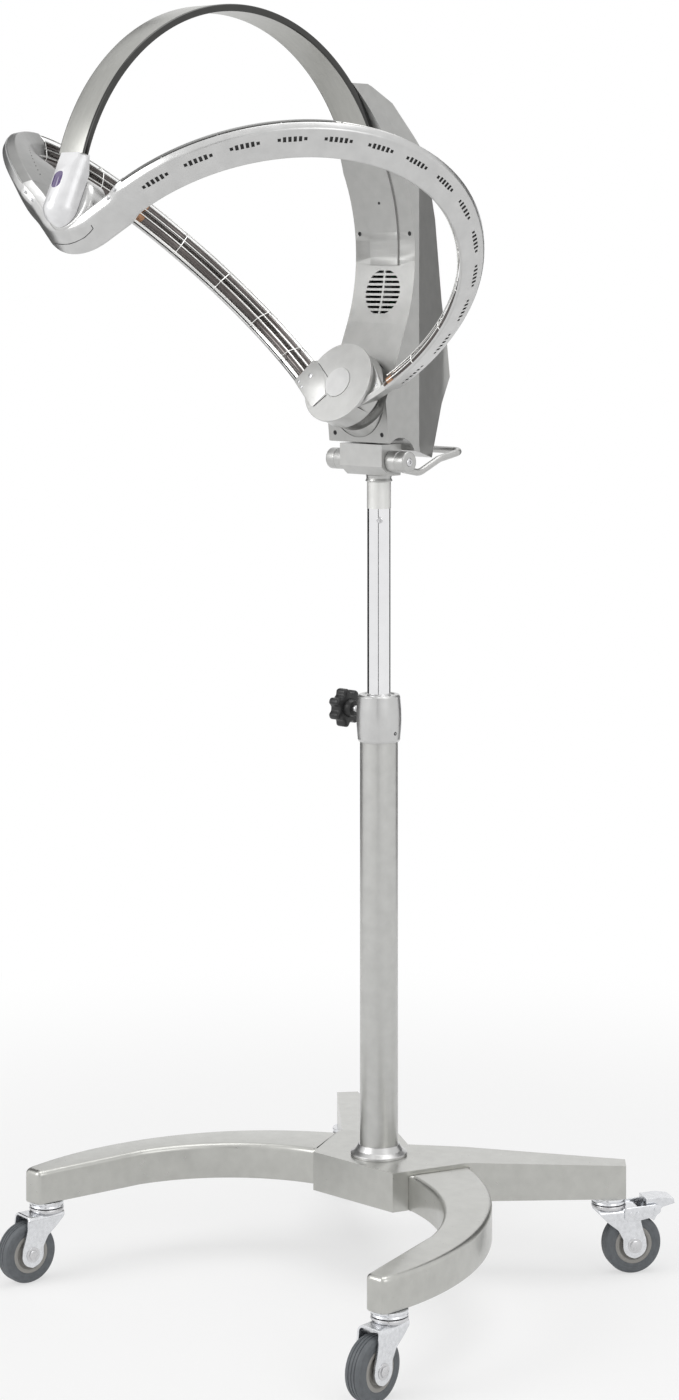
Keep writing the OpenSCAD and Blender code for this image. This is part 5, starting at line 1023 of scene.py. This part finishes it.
# Casters: x of a caster's frame is the way its wheel trails
caster = {"trail": 30, "wheelR": 37.5, "halfW": 12, "cheekIn": 14.2, "sheet": 2.5, "low": 21.5, "crown": 83.4,
          "bendR": 5, "step": 1.6, "soft": 0.6, "softAngle": 50,
          "endR": 15.5, "edge": 0.6, "outlineZ": (37, 46, 58, 68, 78, 84), "front": (14.5, 14.5, 8, -5, -15.5, -18),
          "back": (45.5, 44.5, 40.5, 38, 36.5, 35.5)}
casters = {"front_left": (-291, -306, -100), "front_right": (291, -306, -88), "rear_left": (-224, 187, 124),
           "rear_right": (224, 187, 56)}


# Place of caster coordinates [x, y, z]: turned by its heading about the swivel axis, then moved to the leg
def atCaster(name, x, y, z):
    px, py, heading = casters[name]
    c, s = math.cos(math.radians(heading)), math.sin(math.radians(heading))
    return stacked(px + x * c - y * s, py + x * s + y * c, z)


# Fork: one bent sheet. Across goes down one cheek, over the top and down the other; the sheet's front and back
# edges follow the cheek's outline at each height, rounded at the axle.
def forkSheet(name):
    low, crown, bend, endR = caster["low"], caster["crown"], caster["bendR"], caster["endR"]
    halfY = caster["cheekIn"] + caster["sheet"] / 2
    line = roundedLine([(-halfY, low), (-halfY, crown), (halfY, crown), (halfY, low)], [0, bend, bend, 0], 6)
    dense = []
    for k in range(len(line) - 1):
        pieces = max(1, int(np.linalg.norm(line[k + 1] - line[k]) / caster["step"]))
        dense.append(line[k] + (line[k + 1] - line[k]) * (np.arange(pieces) / pieces)[:, None])
    line = np.concatenate(dense + [line[-1:]])
    z = line[:, 1]
    down = np.clip(caster["wheelR"] - z, 0, endR)
    roundHalf = np.sqrt(np.maximum(endR ** 2 - down ** 2, caster["edge"]))
    front = np.where(z < caster["wheelR"], caster["trail"] - roundHalf,
                     np.interp(z, caster["outlineZ"], caster["front"]))
    back = np.where(z < caster["wheelR"], caster["trail"] + roundHalf,
                    np.interp(z, caster["outlineZ"], caster["back"]))
    v = np.linspace(0, 1, 17)
    x = front[:, None] + (back - front)[:, None] * v
    block = atCaster(name, x, np.broadcast_to(line[:, 0:1], x.shape), np.broadcast_to(z[:, None], x.shape))
    return block.reshape(-1, 3), gridFaces(len(line), len(v)).tolist()


# Turned part on a level axis across the caster, at the axle if no other place is given
def casterTurn(name, profile, count, at=(caster["trail"], 0, caster["wheelR"]), closed=False, corners=None):
    heading = math.radians(casters[name][2])
    line = roundedLine(profile, corners) if corners else profile
    return turned(line, base=atCaster(name, *at), axis=(-math.sin(heading), math.cos(heading), 0), count=count,
                  closed=closed)


# Turned part on the swivel axis
def casterUp(name, profile, corners, count, closed=False):
    return turnedRound(profile, corners, base=atCaster(name, 0, 0, 0), axis=(0, 0, 1), count=count, closed=closed)


# The same line for the caster's side s, its order kept outwards
def onSide(line, s):
    return [(r, s * y) for r, y in line][::s]


half = caster["cheekIn"] + caster["sheet"]
swivel = {"race": [(5.1, 84.2), (19.5, 84.2), (21.2, 85.2), (22.0, 87.4), (21.4, 89.5), (5.1, 89.5)],
          "raceRounds": [0, 1, 0.8, 0.8, 0.4, 0],
          "cup": [(0, 90.1), (20.4, 90.1), (22.0, 91.4), (20.8, 93.6), (22.0, 95.8), (21.6, 98.0), (0, 98.0)],
          "cupRounds": [0, 0.6, 0.7, 0.8, 0.7, 0.3, 0],
          "pin": [(0, 78.2), (6.6, 78.2), (6.6, 80.4), (5, 80.6), (5, 90.4), (0, 90.4)],
          "pinRounds": [0, 0.4, 0.4, 0, 0, 0]}
axle = {"r": 4, "washer": [(0, half - 0.2), (9.4, half - 0.2), (9.4, half + 0.9), (0, half + 0.9)],
        "washerRounds": [0, 0, 0.3, 0],
        "nut": [(0, half + 0.6), (6.6, half + 0.6), (6.6, half + 2.2), (5.6, half + 2.8), (0, half + 2.9)]}
# Half a wheel's section, from its left face inwards: a rim with dished web and hub, and the tyre's side with
# its tread
wheel = {"rim": [(4.05, -1.0), (8.4, -1.0), (9.2, 0.4), (10.4, 2.6), (16.5, 2.8), (18.4, 1.6), (19.6, 0.5),
                 (22.4, 0.3), (24.05, 0.9)],
         "rimRounds": [0, 0.5, 0.5, 1, 1.5, 1.2, 1, 0.6, 0], "grooves": (-4.4, 0.0, 4.4),
         "groove": [(37.45, -0.75), (36.7, -0.45), (36.7, 0.45), (37.45, 0.75)],
         "tyre": [(24.1, 0.8), (26.5, 0.1), (28.2, 0.5), (29.2, 0.5), (30.4, 0), (33.4, 0.3), (35.8, 1.7),
                  (37.0, 4.2), (37.4, 5.4)],
         "seal": [(8.6, -0.6), (12.6, -0.6), (12.6, 0.9), (8.6, 1.1)]}
brake = {"outline": [(16, 86), (16, 70), (34, 69), (50, 72), (58, 74.6), (63.4, 78), (64.4, 82.5), (61.5, 87.2),
                     (56, 88.4), (40, 87.4)],
         "rounds": [2, 4, 6, 6, 5, 4, 4, 4, 6, 4], "gap": 0.1, "out": 2.3, "edge": 0.5,
         "rivets": ((24, 78), (33.5, 77.6), (58, 82)),
         "rivet": [(0, half + 1.6), (3.4, half + 1.6), (3.2, half + 3.2), (0, half + 4.0)]}
for name in casters:
    points, faces = forkSheet(name)
    fork = newPiece(name + "_forkSheet", points, faces, "zinc", name + "_fork", [name + "_fork"], "zinc", 60)
    thick = fork.modifiers.new("sheet", "SOLIDIFY")
    thick.thickness = caster["sheet"] * mm
    thick.offset = 0
    soft = fork.modifiers.new("softEdges", "BEVEL")
    soft.width = caster["soft"] * mm
    soft.segments = 2
    soft.limit_method = "ANGLE"
    soft.angle_limit = math.radians(caster["softAngle"])
    small = [casterUp(name, swivel["race"], swivel["raceRounds"], 72, True)]
    for s in (-1, 1):
        small.append(casterTurn(name, onSide(axle["washer"], s), 36, corners=axle["washerRounds"][::s]))
        small.append(casterTurn(name, onSide(axle["nut"], s), 6 if s > 0 else 28))
    small.append(casterTurn(name, [(0, -half), (axle["r"], -half), (axle["r"], half), (0, half)], 24))
    newPiece(name + "_forkFittings", *joined(small), "screwSteel", name + "_fork", [], "zinc", 40)
    h = caster["halfW"]
    rim, tyre = ([(r, y - h) for r, y in wheel[part]] for part in ("rim", "tyre"))
    block = casterTurn(name, rim + onSide(rim, -1), 96, closed=True,
                       corners=wheel["rimRounds"] + wheel["rimRounds"][::-1])
    newPiece(name + "_rim", *block, "rimGrey", name + "_wheel", [name + "_wheel"], "wheel_grey", 40)
    tread = [(r, g + y) for g in wheel["grooves"] for r, y in wheel["groove"]]
    block = casterTurn(name, tyre + tread + onSide(tyre, -1), 120, closed=True)
    newPiece(name + "_tread", *block, "tyreGrey", name + "_wheel", [name + "_tyre"], "tyre_grey", 30)
    seals = [casterTurn(name, onSide([(r, y + h) for r, y in wheel["seal"]], s), 48, closed=True) for s in (-1, 1)]
    newPiece(name + "_seals", *joined(seals), "blackPlastic", name + "_wheel", [], "wheel_grey", 40)
    if name.startswith("rear"):
        softCopy(name + "_brake", name + "_pedal", "zinc", 1.0, "zinc")
        # Brake's side plates with their rivets
        plates = []
        outline = roundedLine(brake["outline"], brake["rounds"], 5, True)
        for s in (-1, 1):
            y0, y1 = sorted((s * (half + brake["gap"]), s * (half + brake["out"])))
            plates.append(plate(outline, y0, y1, brake["edge"],
                                lambda a, b, across: atCaster(name, a, across, b), 2))
            for x, z in brake["rivets"]:
                plates.append(casterTurn(name, onSide(brake["rivet"], s), 24, at=(x, 0, z)))
        newPiece(name + "_brakePlates", *joined(plates), "zinc", name + "_fork", [], "zinc", 45)
raceParts = []
for name in casters:
    for part, count in (("cup", 72), ("pin", 32)):
        raceParts.append(casterUp(name, swivel[part], swivel[part + "Rounds"], count))
newPiece("casterRaces", *joined(raceParts), "zinc", "stand", ["caster_races"], "zinc", 45)
print("casters")
